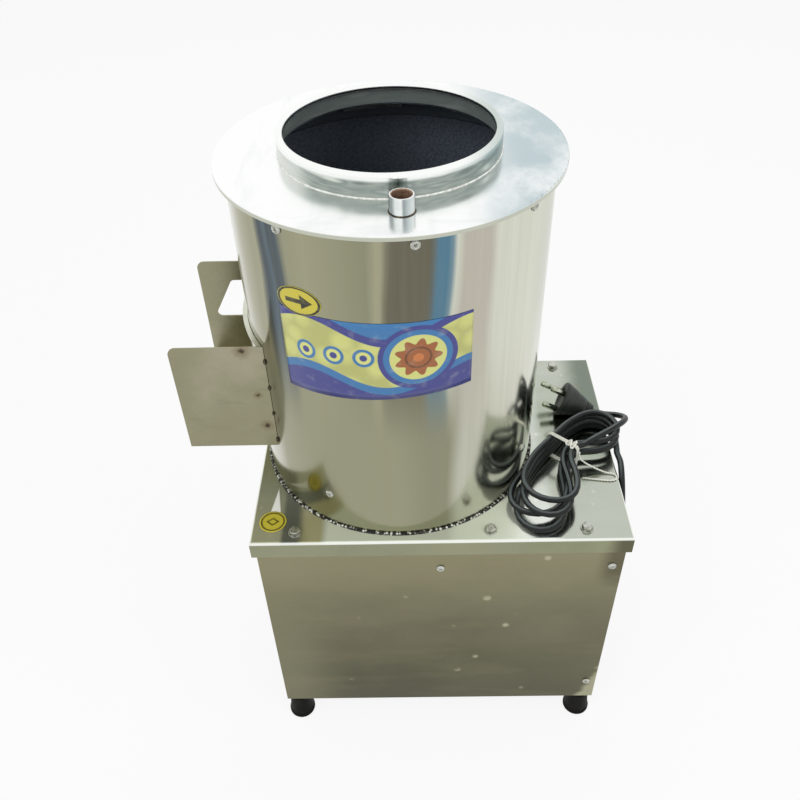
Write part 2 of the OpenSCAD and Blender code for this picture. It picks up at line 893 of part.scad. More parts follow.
module top_flange() {
    color("WhiteSmoke")
        difference() {
            at_drum()
                translate([0, 0, flange_z])
                    rotate_extrude()
                        union() {
                            translate([collar_in, -flange_t])
                                square([flange_r - flange_t - collar_in, flange_t]);
                            translate([flange_r - flange_t - 1, -flange_t])
                                square([1, flange_t]);
                            intersection() {
                                translate([flange_r - flange_t, -flange_t])
                                    circle(flange_t);
                                translate([flange_r - flange_t, -flange_t])
                                    square(flange_t);
                            }
                            translate([flange_r - flange_t, -hem_h])
                                square([flange_t, hem_h - flange_t]);
                        }
            translate([inlet_x, inlet_y, flange_z - 10])
                cylinder(d = inlet_d + 2 * fit_gap, h = 20);
        }
}

module flange_tabs() {
    color("WhiteSmoke")
        difference() {
            at_drum()
                for (i = [0:flange_screw_n - 1])
                    rotate([0, 0, flange_screw_a0 + 360 * i / flange_screw_n - flange_tab_a / 2])
                        translate([0, 0, flange_z])
                            rotate_extrude(angle = flange_tab_a)
                                translate([drum_in - join_gap - sheet_t, -flange_skirt])
                                    square([sheet_t, flange_skirt - flange_t - fit_gap]);
            drum_screw_spots()
                screw_holes();
        }
}

module feed_collar() {
    color("Gainsboro")
        at_drum()
            translate([0, 0, flange_z])
                rotate_extrude()
                    union() {
                        translate([collar_in, 0])
                            square([sheet_t, collar_h - rim_d / 2]);
                        translate([collar_r - rim_d / 2, collar_h - rim_d / 2])
                            circle(d = rim_d);
                    }
}

module water_inlet() {
    color("Silver")
        translate([inlet_x, inlet_y, flange_z])
            difference() {
                translate([0, 0, -14])
                    cylinder(d = inlet_d, h = 14 + inlet_h);
                translate([0, 0, -15])
                    cylinder(d = inlet_bore, h = 16 + inlet_h);
            }
}

module drain_spout() {
    color("Silver")
        difference() {
            translate([drum_x, drum_y, drain_z])
                rotate([-90, 0, 0])
                    difference() {
                        union() {
                            translate([0, 0, drum_in - 12])
                                cylinder(d = drain_root_d, h = wall_t + 12 + drain_root_l);
                            translate([0, 0, drum_in - 1])
                                cylinder(d = drain_d, h = wall_t + 1 + drain_len);
                        }
                        cylinder(d = drain_bore, h = drum_r + drain_len + 10);
                    }
            at_drum()
                cylinder(r = drum_in - ring_t, h = flange_z);
        }
}

// Chute
module cheek_side() {
    translate([cheek_x, cheek_z0])
        square([cheek_reach, cheek_h - cheek_r]);
    translate([cheek_x + cheek_r, cheek_z0])
        square([cheek_reach - cheek_r, cheek_h]);
    translate([cheek_x + cheek_r, cheek_z1 - cheek_r])
        circle(cheek_r);
}

// Outline that runs clockwise round points at a distance, with round corners
function heading(a, b) = atan2(b[1] - a[1], b[0] - a[0]);
function half_turn(a) = a - 360 * floor((a + 180) / 360);
function round_corner(a, b, c, r) = let (h = heading(a, b), t = half_turn(heading(b, c) - h))
    [for (k = [0:corner_n]) b + r * [cos(h + 90 + t * k / corner_n), sin(h + 90 + t * k / corner_n)]];
module rounded(p, r) {
    n = len(p);
    polygon([for (i = [0:n - 1]) for (q = round_corner(p[(i + n - 1) % n], p[i], p[(i + 1) % n], r)) q]);
}

module cheek(y) {
    difference() {
        translate([0, y + sheet_t, 0])
            rotate([90, 0, 0])
                linear_extrude(sheet_t)
                    cheek_side();
        at_drum()
            cylinder(r = drum_r + join_gap, h = flange_z + 10);
    }
}

module front_cheek() {
    color("Silver")
        cheek(chute_y - half_w - sheet_t);
}

module rear_cheek() {
    color("Silver")
        difference() {
            cheek(chute_y + half_w);
            translate([cheek_x, chute_y + half_w + 10, cheek_z0])
                rotate([90, 0, 0])
                    linear_extrude(20)
                        rounded([[18, 63], [38, 101], [56, 101], [66, 63]], 5);
        }
}

module chute_floor() {
    color("Silver")
        difference() {
            translate([0, chute_y + half_w, 0])
                rotate([90, 0, 0])
                    linear_extrude(chute_w)
                        polygon([[cheek_x, cheek_z0], [drum_x, floor_z + (floor_z - cheek_z0 - sheet_t)
                            - sheet_t], [drum_x, floor_z + (floor_z - cheek_z0 - sheet_t)],
                            [cheek_x, cheek_z0 + sheet_t]]);
            at_drum()
                cylinder(r = gate_r + gate_t + slide_gap, h = flange_z);
        }
    color("Silver")
        intersection() {
            box([cheek_x, chute_y - half_w, floor_z - 4], [drum_x, chute_y + half_w, floor_z]);
            at_drum()
                difference() {
                    cylinder(r = gate_r + gate_t + slide_gap + 1, h = flange_z);
                    cylinder(r = drum_r + join_gap, h = 3 * flange_z, center = true);
                }
        }
}

function guide_x(y) = drum_x - sqrt(pow(gate_r + gate_t, 2) - pow(y - drum_y, 2)) - slide_gap;

module gate_guides() {
    color("Silver")
        for (s = [-1, 1])
            let (x = guide_x(chute_y + s * (half_w - guide_w)))
                translate([x - guide_t, chute_y + s * (half_w - guide_w / 2) - guide_w / 2, floor_z])
                    cube([guide_t, guide_w, guide_z1 - floor_z]);
}

module gate_band(r0, r1, z0, z1, side) {
    intersection() {
        at_drum()
            translate([0, 0, z0])
                difference() {
                    cylinder(r = r1, h = z1 - z0);
                    translate([0, 0, -1])
                        cylinder(r = r0, h = z1 - z0 + 2);
                }
        box([cheek_x, chute_y - half_w + side, z0 - 1], [drum_x, chute_y + half_w - side, z1 + 1]);
    }
}

module discharge_gate() {
    color("Gainsboro")
        union() {
            gate_band(gate_r, gate_r + gate_t, gate_z0, cheek_z1, slide_gap);
            gate_band(gate_r + 0.1, gate_r + gate_lip, cheek_z1 - gate_t, cheek_z1, slide_gap);
        }
}

module gate_handle() {
    color("Gray")
        difference() {
            union() {
                for (s = [-1, 1])
                    translate([drum_x - drum_r - 22, chute_y + s * 32, handle_z])
                        rotate([0, 90, 0])
                            cylinder(d = 7, h = 40);
                translate([drum_x - drum_r - 22, chute_y - 32, handle_z])
                    rotate([-90, 0, 0])
                        cylinder(d = 7, h = 64);
                for (s = [-1, 1])
                    translate([drum_x - drum_r - 22, chute_y + s * 32, handle_z])
                        sphere(d = 7);
            }
            at_drum()
                cylinder(r = gate_r + gate_t + fit_gap, h = flange_z);
        }
}

// Turning pieces
module drum_shaft() {
    color("Silver")
        at_drum()
            union() {
                translate([0, 0, shaft_z0])
                    cylinder(d = shaft_d, h = disc_z1 - 2 - shaft_z0);
                translate([0, 0, disc_z1 - 3])
                    cylinder(d = thread_d, h = shaft_top - disc_z1 + 3);
            }
}

module peeling_disc() {
    color("SlateGray")
        at_drum()
            difference() {
                union() {
                    translate([0, 0, disc_z0])
                        cylinder(d = disc_d, h = disc_t);
                    translate([0, 0, hub_z0])
                        cylinder(r = shaft_d / 2 + 14, h = disc_z0 - hub_z0 + 1);
                    intersection() {
                        for (i = [0:wave_count - 1])
                            rotate([0, 0, 360 * i / wave_count])
                                translate([34, 0, disc_z1 + wave_h - 26])
                                    rotate([0, 90, 0])
                                        cylinder(r = 26, h = disc_d / 2 - 42);
                        translate([0, 0, disc_z0 + 1])
                            cylinder(d = disc_d, h = disc_t + wave_h + 2);
                    }
                }
                translate([0, 0, hub_z0 - 1])
                    cylinder(r = shaft_d / 2 + fit_gap, h = disc_z1 - 2 + fit_gap - hub_z0 + 1);
                translate([0, 0, disc_z1 - 4])
                    cylinder(r = thread_d / 2 + fit_gap, h = 10);
            }
}

module disc_nut() {
    color("Silver")
        at_drum()
            difference() {
                union() {
                    translate([0, 0, disc_z1])
                        cylinder(r = 17, h = 2);
                    translate([0, 0, disc_z1 + 2])
                        hex(26, 10);
                    intersection() {
                        translate([0, 0, disc_z1 + 11])
                            sphere(d = 24);
                        translate([0, 0, disc_z1 + 11])
                            cylinder(d = 30, h = 20);
                    }
                }
                translate([0, 0, disc_z1 - 1])
                    cylinder(r = thread_d / 2 + fit_gap, h = shaft_top - disc_z1 + 1.5);
            }
}

// Pulley section: rim with a groove that clears the belt, web and hub
module pulley_profile(r, mid, hub, web, bore, h0, h1) {
    wo = belt_wo / 2 + join_gap;
    wi = belt_wi / 2 + join_gap;
    deep = mid - belt_h / 2 - join_gap;
    slope = (wo - wi) / belt_h;
    difference() {
        union() {
            translate([deep - 7, -pulley_t / 2])
                square([r - deep + 7, pulley_t]);
            translate([bore + 0.5, -web / 2])
                square([deep - bore - 1, web]);
            translate([bore, h0])
                square([hub - bore, h1 - h0]);
        }
        polygon([[deep, -wi], [r + 1, -wi - slope * (r + 1 - deep)], [r + 1, wi + slope * (r + 1 - deep)],
            [deep, wi]]);
    }
}

module shaft_pulley() {
    color("Gray")
        at_drum()
            translate([0, 0, belt_z])
                difference() {
                    rotate_extrude()
                        pulley_profile(big_pulley_d / 2, big_r, shaft_d / 2 + 13, 7, shaft_d / 2 + fit_gap, -12, 22);
                    for (a = [0:72:288])
                        rotate([0, 0, a])
                            translate([(big_r + shaft_d / 2) / 2 + 2, 0, -10])
                                cylinder(r = 15, h = 20);
                }
}

module motor_pulley() {
    color("Gray")
        translate([motor_x, motor_y, belt_z])
            rotate_extrude()
                pulley_profile(small_pulley_d / 2, small_r, motor_shaft_d / 2 + 6, pulley_t,
                    motor_shaft_d / 2 + fit_gap, -14, 12);
}

module belt_end(r) {
    translate([r, 0])
        polygon([[-belt_h / 2, -belt_wi / 2], [belt_h / 2, -belt_wo / 2], [belt_h / 2, belt_wo / 2],
            [-belt_h / 2, belt_wi / 2]]);
}

module drive_belt() {
    color("Black")
        translate([drum_x, drum_y, belt_z])
            union() {
                rotate([0, 0, belt_a])
                    rotate_extrude(angle = 360 - 2 * belt_a)
                        belt_end(big_r);
                translate([belt_centres, 0, 0])
                    rotate([0, 0, -belt_a])
                        rotate_extrude(angle = 2 * belt_a)
                            belt_end(small_r);
                for (m = [0, 1])
                    mirror([0, m, 0])
                        rotate([0, 0, belt_a])
                            rotate([90, 0, 0])
                                translate([0, 0, -0.5])
                                    linear_extrude(belt_run + 1)
                                        belt_end(big_r);
            }
}

module motor_plate() {
    color("DimGray")
        difference() {
            box([motor_x - mplate_w / 2, -in_y + angle_t, mplate_z0], [motor_x + mplate_w / 2, in_y - angle_t,
                mplate_z1]);
            translate([motor_x, motor_y, mplate_z0 - 1])
                cylinder(d = motor_shaft_d + 16, h = mplate_t + 2);
            drive_bolt_spots()
                drive_bolt_hole();
        }
}

module motor_flange() {
    color("SlateGray")
        difference() {
            translate([motor_x, motor_y, mflange_z0])
                difference() {
                    cylinder(d = motor_d, h = mflange_t);
                    translate([0, 0, -1])
                        cylinder(r = motor_shaft_d / 2 + run_gap, h = mflange_t + 2);
                }
            drive_bolt_spots()
                drive_bolt_hole();
        }
}

module motor_stator() {
    color("SlateGray")
        translate([motor_x, motor_y, stator_z0])
            linear_extrude(stator_l)
                difference() {
                    union() {
                        circle(d = motor_d - 8);
                        for (a = [15:15:360])
                            rotate(a)
                                translate([motor_d / 2 - 8, -1.2])
                                    square([8, 2.4]);
                        translate([-24, motor_d / 2 - 19])
                            square([48, 20]);
                        translate([-12, -motor_d / 2 - 1])
                            square([24, 20]);
                    }
                    circle(r = motor_shaft_d / 2 + 1);
                }
    color("SlateGray")
        translate([motor_x, motor_y, stator_z0 - bell_t])
            cylinder(d1 = motor_d - 16, d2 = motor_d - 6, h = bell_t);
}

module motor_cowl() {
    color("Black")
        translate([motor_x, motor_y, stator_z0 - bell_t - cowl_h])
            difference() {
                cylinder(d = motor_d - 14, h = cowl_h);
                translate([0, 0, 1.5])
                    cylinder(d = motor_d - 17, h = cowl_h - 4);
                for (r = [14, 24, 34])
                    for (a = [0:60:300])
                        rotate([0, 0, a + r])
                            translate([r, 0, -1])
                                cylinder(d = 7, h = 4);
            }
}

module terminal_box() {
    y0 = motor_y + motor_d / 2 + 1;
    color("DarkSlateGray")
        difference() {
            box([motor_x - 30, y0, mflange_z0 - 70], [motor_x + 30, y0 + 34, mflange_z0 - 12]);
            translate([motor_x + 20, gland_y, mflange_z0 - 40])
                rotate([0, 90, 0])
                    cylinder(d = cord_d + 2 * hole_gap, h = 20);
        }
}

module capacitor() {
    y1 = motor_y - motor_d / 2 - 1;
    color("WhiteSmoke")
        union() {
            translate([motor_x, y1 - 20, mflange_z0 - 78])
                cylinder(d = 36, h = 66);
            box([motor_x - 9, y1 - 12, mflange_z0 - 60], [motor_x + 9, y1, mflange_z0 - 30]);
        }
}

module motor_shaft() {
    color("Silver")
        translate([motor_x, motor_y, stator_z0 + 10])
            cylinder(d = motor_shaft_d, h = belt_z + 16 - stator_z0 - 10);
}

// Mains lead
module cable_gland() {
    color("Black")
        translate([panel_x, gland_y, cover_z + gland_z])
            rotate([0, 90, 0])
                difference() {
                    union() {
                        translate([0, 0, -sheet_t - 8])
                            cylinder(d = 16, h = sheet_t + 9);
                        translate([0, 0, -sheet_t - 5])
                            hex(22, 5);
                        hex(22, 6);
                        translate([0, 0, 5])
                            cylinder(d1 = 19, d2 = cord_d + 4, h = gland_out - 5);
                    }
                    translate([0, 0, -sheet_t - 9])
                        cylinder(d = cord_d + 2 * hole_gap, h = 9 + sheet_t + gland_out - cord_d);
                    translate([0, 0, gland_out - cord_d - 1])
                        cylinder(d = cord_d + 2 * hole_gap, h = cord_d + 2);
                }
}

module inner_lead() {
    color("Black")
        tube(inner_path, cord_d, 8);
}

module cord_lead() {
    color("Black")
        tube(concat([lead_path[0] - [gland_out, 0, 0]], lead_path), cord_d, 8);
}

module cord_hank() {
    color("Black")
        tube(hank_path, cord_d, 6);
}

module cord_tail() {
    color("Black")
        tube(tail_path, cord_d, 8);
}

// Plug standing at its rear end with its pins towards +Z
module at_plug() {
    translate(plug_back)
        rotate([0, 90 - plug_tilt, plug_dir])
            children();
}

module plug_body() {
    color("Black")
        at_plug()
            union() {
                cylinder(d1 = plug_tail_d, d2 = plug_d - 2, h = plug_l - 3);
                translate([0, 0, plug_l - 3])
                    cylinder(d1 = plug_d - 2, d2 = plug_d - 4, h = 3);
            }
}

module plug_pins() {
    color("Gold")
        at_plug()
            translate([0, 0, plug_l])
                rotate([0, 0, -80]) {
                    for (s = [-1, 1])
                        translate([-8, s * pin_gap / 2, 0])
                            cylinder(d = pin_d, h = pin_l);
                    translate([-8 + earth_off - 1.5, 0, 0])
                        cylinder(d = earth_d - 2, h = earth_l);
                }
}

// Twine
module tie_loop(r) {
    rounded([[tie_foot, tie_corner - tie_in_l], [tie_foot, tie_in_r - tie_corner],
        [tie_top - tie_corner, tie_in_r - tie_corner], [tie_top - tie_corner, tie_corner - tie_in_l]], r);
}

module tie_band() {
    color("Ivory")
        translate([edge_x + hank_x, hank_y, cover_z])
            rotate([0, 0, hank_mid])
                for (i = [0:tie_turns - 1])
                    translate([(i - (tie_turns - 1) / 2) * (twine_d + 0.3) + twine_d / 2, 0, 0])
                        rotate([0, -90, 0])
                            linear_extrude(twine_d)
                                difference() {
                                    tie_loop(tie_corner + twine_d);
                                    tie_loop(tie_corner);
                                }
}

module tie_tail() {
    color("Ivory")
        tube(tie_path, twine_d, 8);
}

frame_posts();
lower_rails();
motor_rails();
front_panel();
rear_panel();
left_panel();
right_panel();
top_cover();
cover_bolts();
cover_nuts();
panel_screws();
foot_front_left();
foot_front_right();
foot_rear_left();
foot_rear_right();
foot_bolts();
bearing_bridge();
bearing_housing();
drive_bolts();
shaft_bearings();
shaft_seal();
drum_base();
drum_shell();
base_bead();
sump_ring();
drum_screws();
abrasive_liner();
top_flange();
flange_tabs();
feed_collar();
water_inlet();
drain_spout();
front_cheek();
rear_cheek();
chute_floor();
gate_guides();
discharge_gate();
gate_handle();
drum_shaft();
peeling_disc();
disc_nut();
shaft_pulley();
drive_belt();
motor_plate();
motor_flange();
motor_stator();
motor_cowl();
terminal_box();
capacitor();
motor_shaft();
motor_pulley();
cable_gland();
inner_lead();
cord_lead();
cord_hank();
cord_tail();
plug_body();
plug_pins();
tie_band();
tie_tail();
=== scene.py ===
"""Looks of a drum peeling machine: finishes, cord, plug, twine, stickers, fasteners, stage and camera."""
import json
import math

import bmesh
import bpy
from mathutils import Matrix, Vector


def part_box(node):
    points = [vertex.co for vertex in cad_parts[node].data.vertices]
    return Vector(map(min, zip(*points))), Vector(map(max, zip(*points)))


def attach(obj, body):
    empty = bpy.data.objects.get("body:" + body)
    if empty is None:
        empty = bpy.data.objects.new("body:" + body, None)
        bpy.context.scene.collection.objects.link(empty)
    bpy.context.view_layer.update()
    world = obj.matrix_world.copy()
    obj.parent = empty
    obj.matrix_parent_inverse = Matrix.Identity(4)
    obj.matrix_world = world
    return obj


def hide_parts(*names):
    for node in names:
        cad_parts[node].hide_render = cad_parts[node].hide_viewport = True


bl_info = {
    "name": "Drum Peeler",
    "version": (1, 0, 0),
    "blender": (4, 5, 0),
    "location": "View3D > Sidebar > Peeler",
    "description": "Builds the looks of a drum peeling machine around its packed model",
    "category": "Object",
}

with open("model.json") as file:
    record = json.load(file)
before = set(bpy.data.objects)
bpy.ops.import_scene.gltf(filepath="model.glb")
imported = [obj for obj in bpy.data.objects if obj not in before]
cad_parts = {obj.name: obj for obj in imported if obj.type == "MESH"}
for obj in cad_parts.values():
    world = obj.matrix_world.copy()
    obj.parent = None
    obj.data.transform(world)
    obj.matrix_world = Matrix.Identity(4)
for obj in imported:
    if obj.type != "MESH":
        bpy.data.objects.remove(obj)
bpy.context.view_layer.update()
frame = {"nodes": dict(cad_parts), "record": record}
NODES = frame["nodes"]
MM = 0.001


def middle(node):
    """Middle of a node's box."""
    low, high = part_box(node)
    return (Vector(low) + Vector(high)) / 2


# Places that several pieces share
COVER_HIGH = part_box("top_cover")[1]
COVER_Z, EDGE_X = COVER_HIGH.z, COVER_HIGH.x
DRUM_X, DRUM_Y = middle("drum_shaft").xy
FLANGE_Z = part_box("top_flange")[1].z

# Camera, lamps and floor
CAMERA_PLACE = (-0.0246, -0.70272, 1.04271)
CAMERA_YAW, CAMERA_PITCH, CAMERA_ROLL = math.radians(-1.35), math.radians(41.16), math.radians(-1.9)
CAMERA_LENS, CAMERA_SENSOR, CAMERA_CLIP = 37.572, 36, (0.01, 60)
LAMP_AIM = Vector((-0.02, 0, 0.4))
LAMPS = (("key", (-1.1, -1.3, 2), 1.2, 16), ("fill", (1.6, -0.8, 1.5), 1.4, 9), ("back", (0.3, 1.6, 1.9), 1.2, 8))
FLOOR_SIZE, FLOOR_DROP, FLOOR_GLOW = 9, 0.0004, 0.88
WORLD_LIGHT, WORLD_SEEN = 0.55, 1

# Mains lead, in millimetres from the cover's right edge and top
LEAD_EXIT = Vector((17.6, 89, -181.5))
LEAD_TURN = [(15.5, -3.6, -1.5), (27, -14, -5.5), (31, -29.5, -10.5)]
LEAD_RUN = [(53.5, 43, -194), (51.5, 26, -191), (48.5, 9, -183), (45, -8, -171), (41, -25, -155), (36, -41, -136),
            (28.5, -57, -112), (19, -70, -84), (10.5, -77.5, -56), (5.5, -77, -31), (4.5, -67.5, -13), (5, -54, -2.5),
            (5.6, -40, 2.2)]
TAIL_RUN = [(-28, -32.5, 31.2), (-13, -25, 33.9), (0, -16.5, 34.3), (11, -5, 30.8), (17.5, 8, 24), (18, 21, 15.5),
            (12.5, 31.5, 8.6), (3, 37.2, 4.7)]
PLUG_REAR, PLUG_FOOT = (-14, 41), 7.5
PLUG_TILT, PLUG_TURN = math.atan(14.5 / 40), math.radians(167)

# Hank: a bent middle line, with loops of their own length and width on both sides of the waist
HANK_X, HANK_Y, HANK_ARC = -62.4, -33, 35.5
HANK_FRONT, HANK_REAR = 254, 203
HANK_BEND = (HANK_FRONT - HANK_REAR) / (2 * HANK_ARC)
HANK_MID = (HANK_FRONT + HANK_REAR) / 2
HANK_START, HANK_END, HANK_STEPS = 0.46, 4.3, 232
HANK_SLOW, HANK_WAIST = 15.8, 0.246
FRONT_LEN, FRONT_SIDE, FRONT_WIDE, FRONT_EASE = (112, 112, 98, 102, 88), (0, 0, -0.13, 0.085, 0.105), 51.7, 30
REAR_LEN, REAR_WIDE = (76.5, 74.6, 74, 75.2, 74.2), 44.5
STRAND_GAP, LAYER_GAP, WAIST_REACH = (1.2, 1.6), 0.6, 20

# Twine, in millimetres from the hank's middle or from the cover's right edge and top
TIE_LEFT, TIE_RIGHT, TIE_FOOT, TIE_TOP, TIE_ROUND = 16.3, 20.5, 2.4, 32, 4
TIE_SHIFTS, TIE_STEP = (-1.25, 1.25), 0.0009
TIE_RUN = [(-44.4, -48.9, 27), (-44.4, -48.9, 23), (-43.3, -49.2, 18.6), (-40, -50, 14.6), (-34, -51.5, 10.6),
           (-25, -53.5, 6), (-16, -55.4, 2.6), (-11, -56.4, 1.5), (-7.2, -57.2, 1.25), (-4.1, -58.9, 1.25),
           (-2.8, -62.3, 1.25), (-4.1, -65.7, 1.25), (-7.2, -67.4, 1.25), (-13, -67.6, 1.25), (-22, -66.3, 1.25),
           (-31, -64.8, 1.25), (-40, -63.2, 1.25)]
PLY_PITCH, PLY_SHARE = 0.0065, 0.27
KNOT_SIDE, KNOT_WIDE, KNOT_LONG, KNOT_RISE = 13, 4.6, 5.4, 2.6

# Stickers: angles in degrees with -90 at the front, the rest in metres
LABEL_ANGLE, LABEL_SPAN, LABEL_Z, LABEL_LEAN, LABEL_TAPER = -96.5, 34, 0.5905, 0.0045, 0.0028
OVAL_ANGLE, OVAL_Z, OVAL_LEAN, OVAL_SHAPE = -121.8, 0.642, math.radians(5), 0.3
DISC_PLACE = (-0.178, -0.119)
STICKER_LIFT, STICKER_THICK = 0.00025, 0.0002


def shade(red, green, blue):
    """Colour as seen on a screen, 0 to 255, as the linear colour a shader takes."""
    return tuple(c / 12.92 if c <= 0.04045 else ((c + 0.055) / 1.055) ** 2.4
                 for c in (red / 255, green / 255, blue / 255))


def tint(tone, factor):
    """The tone, lighter or darker."""
    return tuple(min(1, c * factor) for c in tone)


def linear(tone):
    """The linear colour of a tone given in either way."""
    return shade(*tone) if len(tone) == 3 else tone[0]


def colour(name, text, value):
    return bpy.props.FloatVectorProperty(name=name, description=text, subtype="COLOR", size=3, min=0, max=1,
                                         default=value)


def length(name, text, value):
    return bpy.props.FloatProperty(name=name, description=text, subtype="DISTANCE", unit="LENGTH", min=0,
                                   default=value)


class PeelerSizes(bpy.types.PropertyGroup):
    drum_radius: length("Drum radius", "Outside radius of the drum that the stickers lie on", 0.1505)
    cord_diameter: length("Cord diameter", "Diameter of the mains lead", 0.0068)
    twine_diameter: length("Twine diameter", "Diameter of the twine round the hank", 0.0022)
    label_height: length("Label height", "Height of the printed label", 0.084)
    oval_width: length("Oval width", "Width of the oval arrow sticker", 0.047)
    disc_width: length("Disc width", "Width of the round sticker on the cover", 0.029)


class PeelerColours(bpy.types.PropertyGroup):
    # The tones of the polished drum, the cover and the panels are painted reflection: their khaki and grey-green
    # tints stand in for the surroundings that the steel mirrors.
    polish: colour("Polished steel", "Middle tone of the polished drum", shade(155, 154, 128))
    cover: colour("Cover steel", "Tone of the cover", shade(188, 194, 181))
    flange: colour("Flange steel", "Tone of the flange", shade(253, 254, 253))
    panel: colour("Panel steel", "Tone of the base's panels", shade(124, 121, 97))
    cheek: colour("Chute steel", "Tone of the chute's cheeks", shade(152, 150, 124))
    cord: colour("Cord rubber", "Tone of the mains lead", shade(27, 31, 31))
    twine: colour("Twine", "Tone of the twine", shade(246, 246, 236))
    deep: colour("Label deep blue", "Dark bands of the label", shade(62, 66, 140))
    bright: colour("Label bright blue", "Light bands of the label", shade(58, 122, 178))
    pale: colour("Label pale green", "Ground of the label", shade(206, 208, 124))
    brown: colour("Label brown", "Motif of the label", shade(164, 96, 48))
    yellow: colour("Sticker yellow", "Ground of the stickers", shade(214, 200, 62))


def sizes():
    return bpy.context.scene.peeler_sizes


def colours():
    return bpy.context.scene.peeler_colours


class Finish:
    """A procedural material that is put together from a few short calls.

    A tone is one linear colour or the three numbers of a screen colour.
    """

    def __init__(self, name, tone, rough, metal=0, **sockets):
        self.mat = bpy.data.materials.new(name)
        self.mat.use_nodes = True
        self.tree = self.mat.node_tree
        self.shader = self.tree.nodes["Principled BSDF"]
        self.tone = tone
        self.set(base_color=tone, roughness=rough, metallic=metal, **sockets)

    def set(self, **sockets):
        for key, value in sockets.items():
            self.join(value, self.shader.inputs[key.replace("_", " ").title().replace("Ior", "IOR")])

    def done(self, **sockets):
        """The material, with its last tone and these sockets."""
        self.set(base_color=self.tone, **sockets)
        return self.mat

    def add(self, kind, inputs=(), **settings):
        node = self.tree.nodes.new("ShaderNode" + kind)
        for key, value in settings.items():
            setattr(node, key, value)
        for key, value in dict(inputs).items():
            self.join(value, node.inputs[key])
        return node

    def join(self, value, socket):
        if isinstance(value, bpy.types.NodeSocket):
            self.tree.links.new(value, socket)
        elif isinstance(value, tuple) and len(value) == 3 and socket.type == "RGBA":
            socket.default_value = (*value, 1)
        else:
            socket.default_value = value

    def place(self, scale=1, move=(0, 0, 0), turn=(0, 0, 0), source="Object"):
        """The piece's own coordinates, scaled by one number or three."""
        coords = self.add("TexCoord").outputs[source]
        scale = scale if isinstance(scale, tuple) else (scale,) * 3
        return self.add("Mapping", {"Vector": coords, "Scale": scale, "Location": move, "Rotation": turn}).outputs[0]

    def noise(self, vector, detail=4, rough=0.55):
        inputs = {"Vector": vector, "Scale": 1, "Detail": detail, "Roughness": rough}
        return self.add("TexNoise", inputs).outputs["Fac"]

    def grain(self, scale, detail=4, rough=0.55, **where):
        return self.noise(self.place(scale, **where), detail, rough)

    def cells(self, scale, **where):
        return self.add("TexVoronoi", {"Vector": self.place(scale, **where), "Scale": 1}).outputs["Distance"]

    def turn(self, vector):
        """Share of a full turn about the upright axis, from the left over the front."""
        return self.add("TexGradient", {"Vector": vector}, gradient_type="RADIAL").outputs["Fac"]

    def parts(self, vector):
        return tuple(self.add("SeparateXYZ", {"Vector": vector}).outputs)

    def calc(self, operation, a, b=0, c=0, clamp=False):
        return self.add("Math", {0: a, 1: b, 2: c}, operation=operation, use_clamp=clamp).outputs[0]

    def both(self, first, *others):
        """Product of masks or numbers."""
        for other in others:
            first = self.calc("MULTIPLY", first, other)
        return first

    def far(self, x, y, point=(0, 0)):
        """Distance from a point in a plane."""
        steps = [self.calc("SUBTRACT", value, start) for value, start in zip((x, y), point)]
        return self.calc("SQRT", self.calc("ADD", *(self.both(step, step) for step in steps)))

    def scale(self, value, low, high, start=0, end=1, kind="LINEAR"):
        inputs = {"Value": value, "From Min": low, "From Max": high, "To Min": start, "To Max": end}
        return self.add("MapRange", inputs, interpolation_type=kind).outputs["Result"]

    def fade(self, value, low, high, start=0, end=1):
        return self.scale(value, low, high, start, end, "SMOOTHSTEP")

    def sway(self, value, noise, reach):
        """The value, moved to and fro by a noise."""
        return self.calc("ADD", value, self.scale(noise, 0.3, 0.7, -reach, reach))

    def mix(self, mask, under, over):
        node = self.add("Mix", data_type="RGBA", blend_type="MIX")
        for value, index in ((mask, 0), (under, 6), (over, 7)):
            self.join(value, node.inputs[index])
        return node.outputs[2]

    def over(self, mask, *tone):
        """Lays a tone over what is there, where the mask is."""
        self.tone = self.mix(mask, self.tone, linear(tone))

    def ramp(self, factor, stops):
        node = self.add("ValToRGB", {"Fac": factor})
        line = node.color_ramp
        line.elements[0].position, line.elements[1].position = stops[0][0], stops[-1][0]
        for where, *_ in stops[1:-1]:
            line.elements.new(where)
        for element, (_, *tone) in zip(line.elements, stops):
            element.color = (*linear(tone), 1)
        return node.outputs["Color"]

    def bump(self, height, strength, distance):
        self.set(normal=self.add("Bump", {"Height": height, "Strength": strength, "Distance": distance}).outputs[0])


